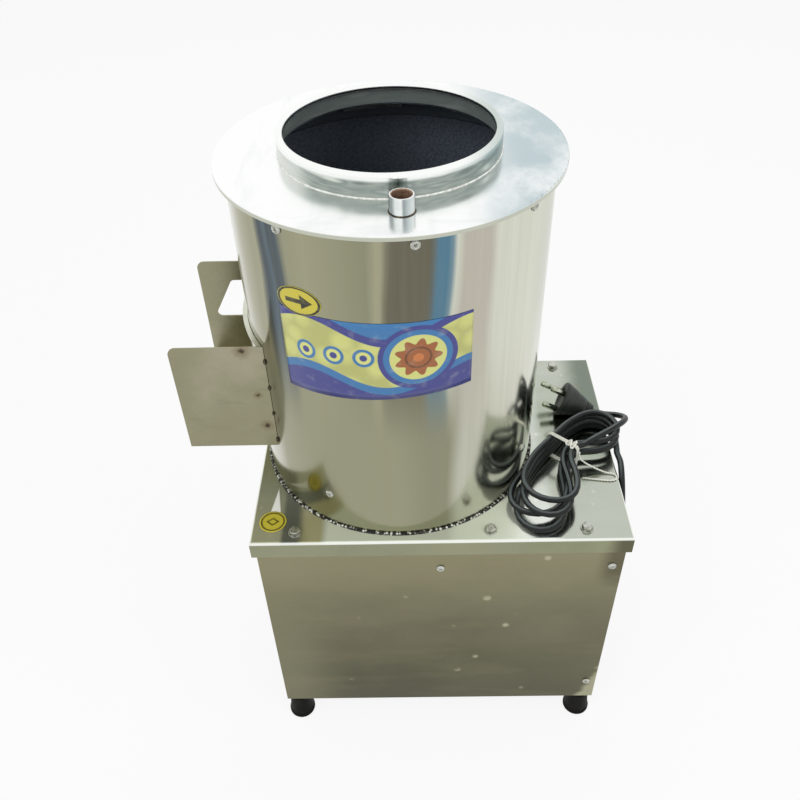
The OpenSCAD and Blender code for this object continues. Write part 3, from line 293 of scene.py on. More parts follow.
# Finishes of one fine pattern, which sets the tone and may set dullness and relief
PLAIN = {
    "satin_steel": dict(
        tone=(176, 178, 168), rough=0.3, metal=1, size=20, detail=5, dull=(0.22, 0.38),
        stops=[(0.3, 150, 151, 140), (0.7, 198, 200, 190)]),
    "zinc_plate": dict(
        tone=(196, 198, 190), rough=0.28, metal=1, size=260, dull=(0.2, 0.4),
        stops=[(0.3, 150, 150, 138), (0.6, 206, 208, 200)]),
    "frame_paint": dict(
        tone=(78, 80, 82), rough=0.5, size=40, detail=5, skin=600, relief=(0.15, 0.0003),
        stops=[(0.3, 66, 68, 70), (0.7, 90, 92, 93)]),
    "cast_iron": dict(
        tone=(70, 70, 72), rough=0.55, metal=0.6, size=450, relief=(0.3, 0.0004),
        stops=[(0.3, 56, 56, 58), (0.7, 92, 92, 94)]),
    "foot_rubber": dict(
        tone=(16, 15, 14), rough=0.6, specular_ior_level=0.08, size=90, detail=5, dust=0.65, skin=900,
        relief=(0.12, 0.0002), stops=[(0.35, 13, 13, 12), (0.75, 34, 33, 30)]),
    "belt_rubber": dict(
        tone=(26, 26, 26), rough=0.65, size=700, detail=2, relief=(0.3, 0.0003),
        stops=[(0.3, 18, 18, 18), (0.7, 38, 38, 37)]),
    "disc_cast": dict(
        tone=(84, 88, 94), rough=0.5, metal=0.7, size=380, detail=3, relief=(0.4, 0.0006),
        stops=[(0.3, 60, 64, 70), (0.7, 110, 114, 120)]),
    "liner_grit": dict(
        tone=(84, 92, 104), rough=0.8, specular_ior_level=0.2, size=420, cells=True, relief=(0.35, 0.0006),
        stops=[(0, 104, 112, 122), (0.35, 90, 98, 108), (0.8, 76, 83, 93)]),
    "bead_sealant": dict(
        tone=(60, 60, 54), rough=0.4, metal=0.3, size=330, cells=True, relief=(0.8, 0.0012),
        stops=[(0.28, 226, 228, 216), (0.42, 124, 124, 112), (0.54, 44, 43, 38), (0.8, 24, 24, 22)]),
    "motor_paint": dict(
        tone=(66, 78, 88), rough=0.42, size=120, skin=700, relief=(0.12, 0.0003),
        stops=[(0.3, 58, 70, 80), (0.7, 76, 88, 97)]),
    "moulded_plastic": dict(
        tone=(36, 37, 38), rough=0.5, size=60, skin=1200, relief=(0.2, 0.0002),
        stops=[(0.3, 29, 34, 30), (0.7, 44, 50, 45)]),
    "pin_metal": dict(
        tone=(178, 172, 128), rough=0.24, metal=1, size=300, stops=[(0.3, 142, 149, 126), (0.7, 206, 213, 192)]),
    "seam_steel": dict(
        tone=(226, 228, 220), rough=0.22, metal=1, size=300, detail=3, relief=(0.15, 0.0003),
        stops=[(0.35, 214, 216, 206), (0.6, 246, 248, 242)]),
    "weld_spot": dict(
        tone=(70, 64, 58), rough=0.4, metal=0.8, size=420, relief=(0.5, 0.0005),
        stops=[(0.3, 30, 28, 28), (0.5, 84, 74, 62), (0.7, 150, 138, 110)]),
}


def plain_finish(name, tone, rough, size, stops, metal=0, detail=4, dust=0.55, cells=False, dull=None, skin=None,
                 relief=None, **sockets):
    """A finish from one entry of the list above."""
    f = Finish(name, shade(*tone), rough, metal, **sockets)
    pattern = f.cells(size) if cells else f.grain(size, detail, dust)
    f.tone = f.ramp(pattern, stops)
    if dull:
        f.set(roughness=f.scale(pattern, 0.3, 0.7, *dull))
    if relief:
        f.bump(f.grain(skin, 2) if skin else pattern, *relief)
    return f.done()


def drum_polish():
    """Polished sheet with soft upright bands of painted reflection round it, and a dull inside."""
    mid = tuple(colours().polish)
    f = Finish("drum_polish", mid, 0.1, 1)
    place = f.place(move=(-DRUM_X, -DRUM_Y, 0))
    x, y, z = f.parts(place)
    turn = f.sway(f.turn(place), f.grain((9, 9, 3.6), 2), 0.006)
    # Painted reflections: these tones, set in upright bands round the drum by the upper and lower ramps, stand in for
    # the surroundings mirrored in the drum.
    light, pale, dark, cool = shade(214, 216, 200), shade(190, 190, 174), shade(108, 105, 89), shade(74, 84, 90)
    steel, rose, soft, low = shade(84, 126, 148), shade(190, 185, 171), tint(mid, 1.14), tint(mid, 0.86)
    rear = [(0.66, pale), (0.78, mid), (0.9, light), (1, light)]
    upper = [
        (0, light), (0.052, light), (0.074, pale), (0.088, tint(mid, 1.15)), (0.11, mid), (0.119, tint(mid, 1.12)),
        (0.122, cool), (0.128, cool), (0.132, 98, 114, 122), (0.137, cool), (0.145, tint(cool, 1.3)), (0.151, mid),
        (0.172, tint(mid, 1.12)), (0.232, tint(mid, 0.84)), (0.237, soft), (0.242, soft), (0.248, dark),
        (0.284, dark), (0.289, steel), (0.3, steel), (0.305, light), (0.312, rose), (0.34, rose), (0.352, light),
        (0.41, light), (0.45, pale), (0.5, light), (0.57, dark), *rear]
    lower = [
        (0, light), (0.09, pale), (0.11, mid), (0.25, mid), (0.285, low), (0.305, low), (0.318, pale),
        (0.338, tint(pale, 1.08)), (0.36, tint(pale, 1.15)), (0.44, light), (0.5, light), (0.57, mid), *rear]
    f.tone = f.mix(f.fade(z, COVER_Z + 0.115, COVER_Z + 0.25), f.ramp(turn, lower), f.ramp(turn, upper))
    f.over(f.scale(f.grain((160, 160, 4), 3), 0.35, 0.65, 0, 0.12), 150, 148, 136)
    inner = f.fade(f.far(x, y), sizes().drum_radius - 0.0006, sizes().drum_radius - 0.001)
    f.over(inner, 76, 84, 92)
    shine = f.scale(f.grain((14, 14, 3)), 0.3, 0.7, 0.1, 0.2)
    f.bump(f.grain((9, 9, 2), 1), 0.12, 0.004)
    return f.done(roughness=f.calc("ADD", shine, f.both(inner, 0.5)), metallic=f.scale(inner, 0, 1, 1, 0.1))


def cover_steel():
    """Bright flat sheet with smears and dried drops, bands of painted reflection along its front, a painted highlight
    along its top bend, painted shadow and dark reflection at its rear right corner, and a darker skirt painted as
    shade and reflection.
    """
    base = tuple(colours().cover)
    f = Finish("cover_steel", base, 0.12, 1)
    x, y, z = f.parts(f.place())
    cloud = f.grain(7, 5)
    f.over(f.fade(cloud, 0.42, 0.66), 168, 177, 161)
    f.over(f.scale(f.grain((9, 60, 9), turn=(0, 0, 0.3)), 0.45, 0.7, 0, 0.25), 216, 221, 210)
    f.over(f.fade(f.cells(55), 0.16, 0.1, 0, 0.5), 226, 228, 214)
    # Painted reflections of the drum: olive, dark and white bands along the front of the sheet.
    white, olive, dusk, edge = shade(240, 244, 238), shade(186, 180, 130), shade(74, 76, 66), shade(196, 195, 164)
    across = f.sway(x, f.grain((10, 3, 10), 2), 0.007)
    bands = f.ramp(f.scale(across, -0.2, 0.2), [
        (0, edge), (0.07, edge), (0.09, tint(edge, 0.9)), (0.1, dusk), (0.135, dusk), (0.15, olive), (0.185, olive),
        (0.2, base), (0.66, base), (0.7, white), (0.79, white), (0.82, base), (1, base)])
    f.over(f.fade(y, -0.06, -0.13, 0.35, 0.75), bands)
    # Painted reflection: the sheet is lighter in front of the drum, where the drum is mirrored.
    front = f.both(f.fade(across, -0.128, -0.116), f.fade(across, 0.1, 0.075), f.fade(y, -0.03, -0.09, 0, 0.85))
    f.over(front, 236, 242, 226)
    aside = f.calc("ABSOLUTE", f.calc("ADD", x, 0.1765))
    wedge = f.calc("SUBTRACT", aside, f.scale(y, -0.066, -0.105, -0.001, 0.0052))
    streak = f.both(f.fade(wedge, 0.0008, -0.0008), f.fade(y, -0.114, -0.106))
    f.over(streak, 252, 253, 246)
    # Painted shadow and dark reflection at the rear right corner, by the plug.
    corner = f.both(f.fade(f.sway(across, cloud, 0.01), 0.148, 0.18), f.fade(y, -0.045, 0.01, 0, 0.8))
    f.over(corner, 106, 117, 104)
    # Painted highlight: a bright line along the top bend.
    f.over(f.fade(z, COVER_Z - 0.0002, COVER_Z - 0.0005, 0, 0.85), 250, 252, 246)
    # Painted shade and reflection: the upright skirt is a darker khaki than the top.
    skirt = f.mix(f.fade(cloud, 0.35, 0.65), shade(152, 154, 124), shade(140, 142, 116))
    # Darker towards the skirt's right end.
    dark_patch = f.fade(f.sway(x, cloud, 0.006), EDGE_X - 0.034, EDGE_X - 0.012, 0, 0.8)
    f.over(f.fade(z, COVER_Z - 0.002, COVER_Z - 0.0034), f.mix(dark_patch, skirt, shade(76, 76, 58)))
    left = f.both(f.fade(across, -0.116, -0.128), f.fade(y, -0.03, -0.09, 0, 0.4))
    dull = f.calc("ADD", f.both(front, 0.55), left)
    f.bump(f.grain(5, 1), 0.1, 0.004)
    return f.done(metallic=f.calc("SUBTRACT", f.scale(streak, 0, 1, 1, 0), dull, clamp=True),
                  roughness=f.scale(cloud, 0.35, 0.7, 0.08, 0.22))


def flange_steel():
    """Pale bright ring with cool smudges towards its right side, partly painted reflection, and a hem painted darker
    as shade.
    """
    f = Finish("flange_steel", tuple(colours().flange), 0.16, 1)
    x, y, z = f.parts(f.place(move=(-DRUM_X, -DRUM_Y, 0)))
    cloud = f.grain((11, 7, 11), 5, 0.6)
    # Cool patches towards the right side: smudges, with painted reflection in them.
    f.over(f.both(f.fade(x, 0.05, 0.12), f.fade(cloud, 0.28, 0.56)), 188, 204, 208)
    f.over(f.scale(f.grain((70, 12, 20), turn=(0, 0, 0.5)), 0.52, 0.78, 0, 0.22), 206, 214, 214)
    f.over(f.both(f.fade(y, -0.1, -0.13), f.fade(f.grain((22, 60, 10)), 0.46, 0.66, 0, 0.16)), 196, 206, 204)
    # Painted shade: the hem below the top is darker.
    f.over(f.fade(z, FLANGE_Z - 0.0012, FLANGE_Z - 0.0022), 196, 199, 184)
    f.bump(f.grain(6, 1), 0.06, 0.003)
    return f.done(roughness=f.scale(cloud, 0.3, 0.7, 0.1, 0.26))


def collar_steel():
    """Turned collar with grey streaks round its wall, a lighter left side and a pale rim as painted highlight, and a
    dull inside painted darker as shade.
    """
    f = Finish("collar_steel", shade(150, 156, 152), 0.18, 1)
    place = f.place(move=(-DRUM_X, -DRUM_Y, -FLANGE_Z))
    x, y, z = f.parts(place)
    turn = f.turn(place)
    around = f.add("CombineXYZ", {"X": f.both(turn, 13), "Y": f.both(z, 110)}).outputs[0]
    f.tone = f.ramp(f.noise(around, 2, 0.4), [
        (0.3, 124, 133, 130), (0.45, 166, 175, 168), (0.54, 142, 152, 148), (0.7, 216, 222, 214)])
    # Painted light: the left side of the wall is lighter.
    f.over(f.fade(turn, 0.15, 0.1, 0, 0.75), 226, 231, 224)
    inner = f.both(f.fade(f.far(x, y), 0.0999, 0.0996), f.fade(z, 0.0165, 0.0135))
    # Painted shade: the inside of the wall is darker.
    f.over(f.both(inner, 0.8), 104, 114, 112)
    # Painted highlight on the rim, brightest at its left.
    rim = f.mix(f.fade(x, 0.055, 0.1), shade(250, 252, 250), shade(200, 211, 206))
    f.over(f.fade(z, 0.0135, 0.0165), rim)
    return f.done(roughness=f.scale(inner, 0, 1, 0.2, 0.6), metallic=f.scale(inner, 0, 1, 1, 0.25))


def panel_steel():
    """Dull sheet of the base, darker towards the floor as painted shade, with pale specks and faint smears."""
    base = tuple(colours().panel)
    f = Finish("panel_steel", base, 0.3, 1)
    x, y, z = f.parts(f.place())
    cloud = f.grain((4, 4, 6), 5, 0.6)
    # Painted shade: darker towards the floor.
    f.tone = f.ramp(f.sway(f.scale(z, 0.045, 0.36), cloud, 0.16), [
        (0, 82, 80, 61), (0.25, 100, 98, 76), (0.6, base), (0.85, 140, 136, 108), (1, 146, 142, 114)])
    smear = f.grain((5, 5, 24), turn=(0.2, 0.3, 0))
    f.over(f.scale(smear, 0.5, 0.75, 0, 0.25), 150, 140, 112)
    f.over(f.both(f.fade(x, -0.1, -0.19), f.fade(z, 0.3, 0.16, 0, 0.6)), 136, 134, 106)
    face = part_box("front_panel")[0].y
    front = f.fade(y, face + 0.003, face + 0.0012)
    # Darker towards the right end of the front face.
    dark_patch = f.fade(f.sway(z, smear, 0.03), 0.262, 0.312, 0, 0.6)
    f.over(f.both(f.fade(x, 0.165, 0.186), dark_patch, front), 70, 66, 50)
    some = f.calc("ADD", f.grain(9, 2, move=(4, 0, 0)), f.scale(x, -0.19, 0.19, -0.16, 0.12))
    f.over(f.both(f.fade(f.cells(26), 0.16, 0.07), f.fade(some, 0.48, 0.56, 0, 0.6)), 206, 202, 172)
    # Lighter strip along the right edge of the front face.
    pale_edge = f.sway(f.calc("ADD", x, f.scale(z, 0.045, 0.145, 0, -0.03)), smear, 0.012)
    f.over(f.both(f.fade(pale_edge, 0.172, 0.184, 0, 0.7), front), 186, 184, 154)
    f.bump(f.grain(3, 1), 0.08, 0.004)
    return f.done(roughness=f.scale(cloud, 0.3, 0.7, 0.22, 0.36))


def cheek_steel():
    """Satin chute sheet with faint marks and the brown spots of its spot welds."""
    base = tuple(colours().cheek)
    f = Finish("cheek_steel", base, 0.26, 1)
    x, _, z = f.parts(f.place())
    cloud = f.grain(10, 5, 0.6)
    f.tone = f.ramp(cloud, [(0.3, 146, 142, 116), (0.5, base), (0.7, 170, 164, 142)])
    f.over(f.scale(f.grain((30, 30, 90), turn=(0, 0.5, 0)), 0.55, 0.75, 0, 0.25), 120, 118, 100)
    rough = f.grain(300)
    for spot, size in (((-0.1815, 0.4985), 0.0024), ((-0.1775, 0.4575), 0.0038), ((-0.1905, 0.5545), 0.0046)):
        far = f.sway(f.far(x, z, spot), rough, 0.0012)
        f.over(f.fade(far, size * 2.6, size * 0.8, 0, 0.45), 118, 96, 70)
        f.over(f.fade(far, size * 0.9, size * 0.35, 0, 0.85), 58, 50, 44)
    return f.done(roughness=f.scale(cloud, 0.3, 0.7, 0.2, 0.34))


def inlet_steel():
    """Bright pipe with painted reflection and shade in upright bands round its wall, and a rust-brown thread inside.
    """
    f = Finish("inlet_steel", shade(222, 222, 214), 0.16, 1)
    centre = middle("water_inlet")
    place = f.place(move=(-centre.x, -centre.y, 0))
    x, y, _ = f.parts(place)
    out = f.far(x, y)
    inner = f.fade(out, 0.0092, 0.0088)
    rust = f.ramp(f.grain(500), [(0.3, 120, 92, 74), (0.6, 168, 138, 116), (0.8, 206, 192, 176)])
    # Painted reflection and shade: lighter and darker upright bands round the wall.
    wall = f.ramp(f.turn(place), [
        (0, 120, 128, 128), (0.12, 150, 160, 160), (0.17, 228, 234, 232), (0.24, 240, 244, 242),
        (0.27, 150, 160, 162), (0.33, 196, 206, 206), (0.4, 222, 228, 226), (0.5, 126, 134, 134),
        (0.75, 210, 214, 210), (1, 120, 128, 128)])
    f.tone = f.mix(inner, f.mix(f.fade(out, 0.0099, 0.0102), shade(244, 246, 244), wall), rust)
    return f.done(roughness=f.scale(inner, 0, 1, 0.14, 0.5), metallic=f.scale(inner, 0, 1, 1, 0.3))


def cord_rubber():
    """Black lead with a dull sheen, dust, fine grain and a painted highlight along its upper side."""
    base = tuple(colours().cord)
    f = Finish("cord_rubber", base, 0.36, specular_ior_level=0.3)
    dust = f.grain(130, 5, 0.65)
    f.tone = f.ramp(dust, [(0.35, tint(base, 0.6)), (0.6, tint(base, 0.85)), (0.8, tint(base, 1.8))])
    # Painted highlight: the side of the lead that faces up, leaning left, is lighter.
    out = f.parts(f.add("NewGeometry").outputs["Normal"])
    painted_highlight = f.calc("MULTIPLY_ADD", out[0], -0.35, out[2])
    f.over(f.fade(painted_highlight, 0.84, 1.04, 0, 0.62), 116, 126, 126)
    f.bump(f.grain(900, 2), 0.1, 0.0002)
    return f.done(roughness=f.scale(dust, 0.3, 0.7, 0.3, 0.46))


def twine_fibre():
    """Pale fibres with a soft sheen."""
    base = tuple(colours().twine)
    f = Finish("twine_fibre", base, 0.75, sheen_weight=0.3, sheen_roughness=0.5)
    fibre = f.grain(1600, 3)
    f.tone = f.ramp(fibre, [(0.3, tint(base, 0.94)), (0.6, tint(base, 1.06))])
    f.bump(fibre, 0.4, 0.0002)
    return f.done()


def label_print():
    """Plain decoration: bands and dots on a pale ground, with a ringed rosette."""
    deep, bright, pale, brown = (tuple(getattr(colours(), name)) for name in ("deep", "bright", "pale", "brown"))
    f = Finish("label_print", pale, 0.32, coat_weight=0.25, coat_roughness=0.2)
    u, v, _ = f.parts(f.place((2.08, 1, 1), source="UV"))
    wave = f.calc("SINE", f.calc("MULTIPLY_ADD", u, 3.6, 0.4))
    level = f.calc("SUBTRACT", v, f.both(wave, 0.13))
    leaf = f.cells((9, 4.4, 1), source="UV")
    f.tone = f.mix(f.fade(leaf, 0.25, 0.75), tint(pale, 1.12), tint(pale, 0.84))
    for low, high, band in ((0.3, 0.29, bright), (0.2, 0.19, deep), (0.83, 0.84, deep), (0.93, 0.94, bright)):
        f.over(f.fade(level, low, high), band)

    def rings(out, *steps):
        for edge, ring in steps:
            f.over(f.fade(out, edge, edge - 0.01), ring)

    rosette = (1.5, 0.54)
    out = f.far(u, v, rosette)
    rings(out, (0.42, deep), (0.365, bright), (0.3, tint(pale, 1.15)))
    turn = f.calc("ARCTAN2", f.calc("SUBTRACT", v, rosette[1]), f.calc("SUBTRACT", u, rosette[0]))
    petal = f.calc("MULTIPLY_ADD", f.calc("COSINE", f.both(turn, 9)), 0.035, 0.215)
    f.over(f.fade(f.calc("SUBTRACT", out, petal), 0.006, -0.006), brown)
    f.over(f.fade(f.calc("ABSOLUTE", f.calc("SUBTRACT", out, 0.13)), 0.016, 0.008), tint(brown, 0.45))
    rings(out, (0.06, tint(brown, 1.7)))
    for x in (0.3, 0.62, 0.94):
        rings(f.far(u, v, (x, 0.56)), (0.12, bright), (0.085, tint(pale, 1.2)), (0.045, deep))
    f.over(f.scale(f.grain((14, 8, 1), 5, source="UV"), 0.55, 0.8, 0, 0.25), 214, 214, 200)
    return f.done()


def oval_print():
    """Black ring and a plain arrow on yellow."""
    f = Finish("oval_print", tuple(colours().yellow), 0.35)
    u, v, _ = f.parts(f.place((2, 2, 1), (-1, -1, 0), source="UV"))
    out, up, black = f.far(u, v), f.calc("ABSOLUTE", v), shade(34, 32, 20)
    f.over(f.both(f.fade(out, 0.85, 0.87), f.fade(out, 0.98, 0.965)), black)
    shaft = f.both(f.fade(up, 0.17, 0.14), f.fade(u, -0.6, -0.58), f.fade(u, 0.2, 0.18))
    slope = f.calc("ADD", up, f.both(u, 0.95))
    head = f.both(f.fade(slope, 0.62, 0.6), f.fade(u, 0.1, 0.12))
    f.over(f.calc("MAXIMUM", shaft, head), black)
    f.over(f.scale(f.grain((9, 9, 1), source="UV"), 0.4, 0.75, 0, 0.25), 196, 190, 120)
    return f.done()


def disc_print():
    """Yellow disc with a dark ring and a small lozenge."""
    yellow, dark = tuple(colours().yellow), shade(92, 82, 20)
    f = Finish("disc_print", yellow, 0.35)
    u, v, _ = f.parts(f.place((2, 2, 1), (-1, -1, 0), source="UV"))
    out = f.far(u, v)
    f.tone = tint(yellow, 0.92)
    f.over(f.both(f.fade(out, 0.74, 0.77), f.fade(out, 0.9, 0.87)), dark)
    lozenge = f.calc("ADD", f.calc("ABSOLUTE", u), f.both(f.calc("ABSOLUTE", v), 1.3))
    f.over(f.fade(f.calc("ABSOLUTE", f.calc("SUBTRACT", lozenge, 0.4)), 0.12, 0.08), dark)
    f.over(f.scale(f.grain((8, 8, 1), source="UV"), 0.4, 0.75, 0, 0.3), 170, 160, 70)
    return f.done()


DRAWN = {maker.__name__: maker for maker in (
    drum_polish, cover_steel, flange_steel, collar_steel, panel_steel, cheek_steel, inlet_steel, cord_rubber,
    twine_fibre, label_print, oval_print, disc_print)}
SLOT_FINISH = {
    "polished_steel": "drum_polish", "satin_steel": "satin_steel", "panel_steel": "panel_steel",
    "frame_paint": "frame_paint", "zinc": "zinc_plate", "iron": "cast_iron", "rubber": "foot_rubber",
    "disc_metal": "disc_cast", "abrasive": "liner_grit", "motor_paint": "motor_paint",
    "box_plastic": "moulded_plastic", "cord_rubber": "cord_rubber", "plug_plastic": "moulded_plastic",
    "brass": "pin_metal", "twine": "twine_fibre",
}
NODE_FINISH = {
    "top_cover": "cover_steel", "top_flange": "flange_steel", "feed_collar": "collar_steel",
    "front_cheek": "cheek_steel", "rear_cheek": "cheek_steel", "chute_floor": "cheek_steel",
    "base_bead": "bead_sealant", "drive_belt": "belt_rubber",
}
MADE = {}


def finish(name):
    """The finish of that name, made once."""
    if name not in MADE:
        MADE[name] = plain_finish(name, **PLAIN[name]) if name in PLAIN else DRAWN[name]()
    return MADE[name]


# Mesh helpers

def settle(obj, replaces=(), edge=0):
    """Puts an object on the base, with rounded edges where asked."""
    bpy.context.scene.collection.objects.link(obj)
    if edge:
        round_off = obj.modifiers.new("Edge", "BEVEL")
        round_off.width, round_off.segments, round_off.limit_method = edge, 2, "ANGLE"
        round_off.angle_limit, round_off.harden_normals = math.radians(35), True
    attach(obj, "base")
    if replaces:
        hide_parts(*replaces)
    return obj


def piece(name, bm, finish_name, replaces=(), edge=0, smooth=True):
    """Turns a bmesh into an object on the base."""
    mesh = bpy.data.meshes.new(name)
    bm.to_mesh(mesh)
    bm.free()
    mesh.materials.append(finish(finish_name))
    mesh.polygons.foreach_set("use_smooth", [smooth] * len(mesh.polygons))
    return settle(bpy.data.objects.new(name, mesh), replaces, edge)


def lathe(profile, place, steps, closed=False, bm=None):
    """Spins a line of radius and height points, in millimetres, into a shell."""
    own = bmesh.new()
    line = [own.verts.new((r * MM, 0, z * MM)) for r, z in profile]
    edges = [own.edges.new(pair) for pair in zip(line, line[1:])]
    if closed:
        edges.append(own.edges.new((line[-1], line[0])))
    bmesh.ops.spin(own, geom=line + edges, cent=(0, 0, 0), axis=(0, 0, 1), angle=2 * math.pi, steps=steps,
                   use_merge=True)
    bmesh.ops.remove_doubles(own, verts=own.verts, dist=1e-7)
    bmesh.ops.dissolve_degenerate(own, edges=own.edges, dist=1e-7)
    bmesh.ops.recalc_face_normals(own, faces=own.faces)
    bmesh.ops.transform(own, matrix=place, verts=own.verts)
    if bm is None:
        return own
    held = bpy.data.meshes.new("held")
    own.to_mesh(held)
    own.free()
    bm.from_mesh(held)
    bpy.data.meshes.remove(held)
    return bm


def spline(points, steps):
    """Smooth line through points."""
    p = [Vector(q) for q in points]
    out = []
    for i in range(len(p) - 1):
        a, b, c, d = p[max(i - 1, 0)], p[i], p[i + 1], p[min(i + 2, len(p) - 1)]
        for k in range(steps):
            t = k / steps
            out.append(0.5 * (2 * b + (c - a) * t + (2 * a - 5 * b + 4 * c - d) * t * t
                              + (3 * b - a - 3 * c + d) * t ** 3))
    return out + [p[-1]]


def run_length(line):
    """Length along a line."""
    return sum((b - a).length for a, b in zip(line, line[1:]))


def dense(line, step):
    """The same line with points at an even distance."""
    out, rest = [line[0]], 0
    for a, b in zip(line, line[1:]):
        run = (b - a).length
        at = step - rest
        while at < run:
            out.append(a.lerp(b, at / run))
            at += step
        rest = run - (at - step)
    return out + [line[-1]]


def plies(line, radius, turns, closed=False):
    """Two strands that wind round each other along a line."""
    count = len(line)
    side = (line[1] - line[0]).orthogonal().normalized()
    lines = ([], [])
    for i, point in enumerate(line):
        after = line[(i + 1) % count] if closed else line[min(i + 1, count - 1)]
        ahead = (after - (line[i - 1] if closed or i else line[0])).normalized()
        side = (side - ahead * side.dot(ahead)).normalized()
        for k, strand in enumerate(lines):
            angle = 2 * math.pi * turns * i / count + math.pi * k
            strand.append(point + radius * (side * math.cos(angle) + ahead.cross(side) * math.sin(angle)))
    return lines


def wire(name, lines, radius, finish_name, cyclic=False, sides=4):
    """Curve object with one round strand along each line."""
    data = bpy.data.curves.new(name, "CURVE")
    data.dimensions = "3D"
    data.bevel_depth, data.bevel_resolution, data.use_fill_caps = radius, sides, True
    for line in lines:
        strand = data.splines.new("POLY")
        strand.points.add(len(line) - 1)
        strand.points.foreach_set("co", [c for p in line for c in (*p, 1)])
        strand.use_cyclic_u = cyclic
        strand.use_smooth = True
    data.materials.append(finish(finish_name))
    return bpy.data.objects.new(name, data)


def as_mesh(obj):
    """The same object as a mesh."""
    mesh = bpy.data.meshes.new_from_object(obj)
    mesh.polygons.foreach_set("use_smooth", [True] * len(mesh.polygons))
    name, data = obj.name, obj.data
    bpy.data.objects.remove(obj)
    bpy.data.curves.remove(data)
    return bpy.data.objects.new(name, mesh)


def patch(name, place, count, finish_name, round_shape=False):
    """Thin sheet over a place given by two numbers from -1 to 1, with a map that runs from 0 to 1."""
    bm = bmesh.new()
    bm.loops.layers.uv.new("UVMap")
    bmesh.ops.create_grid(bm, x_segments=count[0], y_segments=count[1], size=1, calc_uvs=True)
    maps = bm.loops.layers.uv.active
    for vert in bm.verts:
        u, v = vert.co.x, vert.co.y
        if round_shape:
            u, v = u * math.sqrt(1 - v * v / 2), v * math.sqrt(1 - u * u / 2)
        for loop in vert.link_loops:
            loop[maps].uv = (u / 2 + 0.5, v / 2 + 0.5)
        vert.co = place(u, v)
    skin = piece(name, bm, finish_name).modifiers.new("Skin", "SOLIDIFY")
    skin.thickness, skin.offset = STICKER_THICK, 0


def upright(x, y, z):
    """Place at a point with +Z up."""
    return Matrix.Translation((x, y, z))


def facing(point, out):
    """Place at a point with +Z along a direction."""
    return Matrix.Translation(point) @ Vector(out).to_track_quat("Z", "Y").to_matrix().to_4x4()


def turned(angle):
    """Level direction at an angle in degrees from +X."""
    return Vector((math.cos(math.radians(angle)), math.sin(math.radians(angle)), 0))


def on_drum(angle, z, lift=STICKER_LIFT):
    """Point on the drum's wall, with the angle in degrees and -90 at the front."""
    r, a = sizes().drum_radius + lift, math.radians(angle)
    return Vector((DRUM_X + r * math.cos(a), DRUM_Y + r * math.sin(a), z))


def on_cover(p):
    """From millimetres at the cover's right edge and top to the frame's metres."""
    return Vector((EDGE_X + p[0] * MM, p[1] * MM, COVER_Z + p[2] * MM))


def hank_axis(s):
    """Point on the hank's bent middle line and the line's heading there."""
    bend = min(HANK_ARC, max(-HANK_ARC, s))
    heading = HANK_MID + HANK_BEND * bend
    a, b = math.radians(HANK_MID), math.radians(heading)
    point = math.degrees(1) / HANK_BEND * Vector((math.sin(b) - math.sin(a), math.cos(a) - math.cos(b), 0))
    return point + (s - bend) * turned(heading), heading


def hank_point(t, cord):
    """Point of the hank's winding after t loops."""
    phi = math.radians(360 * t + HANK_SLOW * math.sin(math.radians(720 * t)))
    c = math.cos(phi)
    s = (FRONT_LEN[round(t)] if c > 0 else REAR_LEN[math.floor(t)]) * c
    fold = (t - 0.25) / 2 % 1
    side = cord + STRAND_GAP[0] + (cord + STRAND_GAP[1]) * abs(1 - 2 * fold)
    wide = FRONT_WIDE if c > 0 else REAR_WIDE
    v = math.sin(phi) * (side + wide * (math.sqrt(c * c + HANK_WAIST ** 2) - HANK_WAIST))
    if s > 0:
        v += FRONT_SIDE[round(t)] * s * s / (s + FRONT_EASE)
    layer = 0
    for k in (1, 2, 3):
        step = min(1, max(0, (t - k - 0.045) * 2))
        layer += step * step * (3 - 2 * step)
    point, heading = hank_axis(s)
    point += v * turned(heading + 90)
    over_twine = (sizes().twine_diameter / MM + 0.3) * math.exp(-(s / WAIST_REACH) ** 2)
    lift = cord / 2 + 0.1 + (cord + LAYER_GAP) * layer + over_twine
    return Vector((HANK_X + point.x, HANK_Y + point.y, lift))


def plug_frame():
    """Place of the plug: its rear end, with +Z towards the pins."""
    rear = on_cover((*PLUG_REAR, PLUG_FOOT * math.cos(PLUG_TILT) + 0.05))
    lean = Matrix.Rotation(math.pi / 2 - PLUG_TILT, 4, "Y")
    return Matrix.Translation(rear) @ Matrix.Rotation(PLUG_TURN, 4, "Z") @ lean


def lead_line():
    """Whole centre line of the mains lead, from the gland over the hank to the plug."""
    cord = sizes().cord_diameter / MM
    turns = [HANK_START + (HANK_END - HANK_START) * i / HANK_STEPS for i in range(HANK_STEPS + 1)]
    hank = [on_cover(hank_point(t, cord)) for t in turns]
    into, out = ((b - a).normalized() * cord * MM for a, b in (hank[:2], hank[-2:]))
    away = LEAD_EXIT + Vector((cord, 0, 0))
    lead = [LEAD_EXIT, away] + [away + Vector(p) for p in LEAD_TURN] + LEAD_RUN
    lead = spline([on_cover(p) for p in lead] + [hank[0] - 2 * into, hank[0] - into, hank[0]], 5)
    plug = plug_frame()
    rear, axis = plug.translation, plug.to_3x3() @ Vector((0, 0, 1))
    tail = [hank[-1], hank[-1] + out] + [on_cover(p) for p in TAIL_RUN] + [rear - axis * cord * MM, rear]
    return lead + hank[1:] + spline(tail, 5)[1:]


def seen_rays(tree):
    """One for rays from the camera and for mirrored and refracted ones, which show the white background."""
    path = tree.nodes.new("ShaderNodeLightPath")
    seen = path.outputs["Is Camera Ray"]
    for kind in ("Is Glossy Ray", "Is Transmission Ray"):
        node = tree.nodes.new("ShaderNodeMath")
        node.operation, node.use_clamp = "ADD", True
        tree.links.new(seen, node.inputs[0])
        tree.links.new(path.outputs[kind], node.inputs[1])
        seen = node.outputs[0]
    return seen


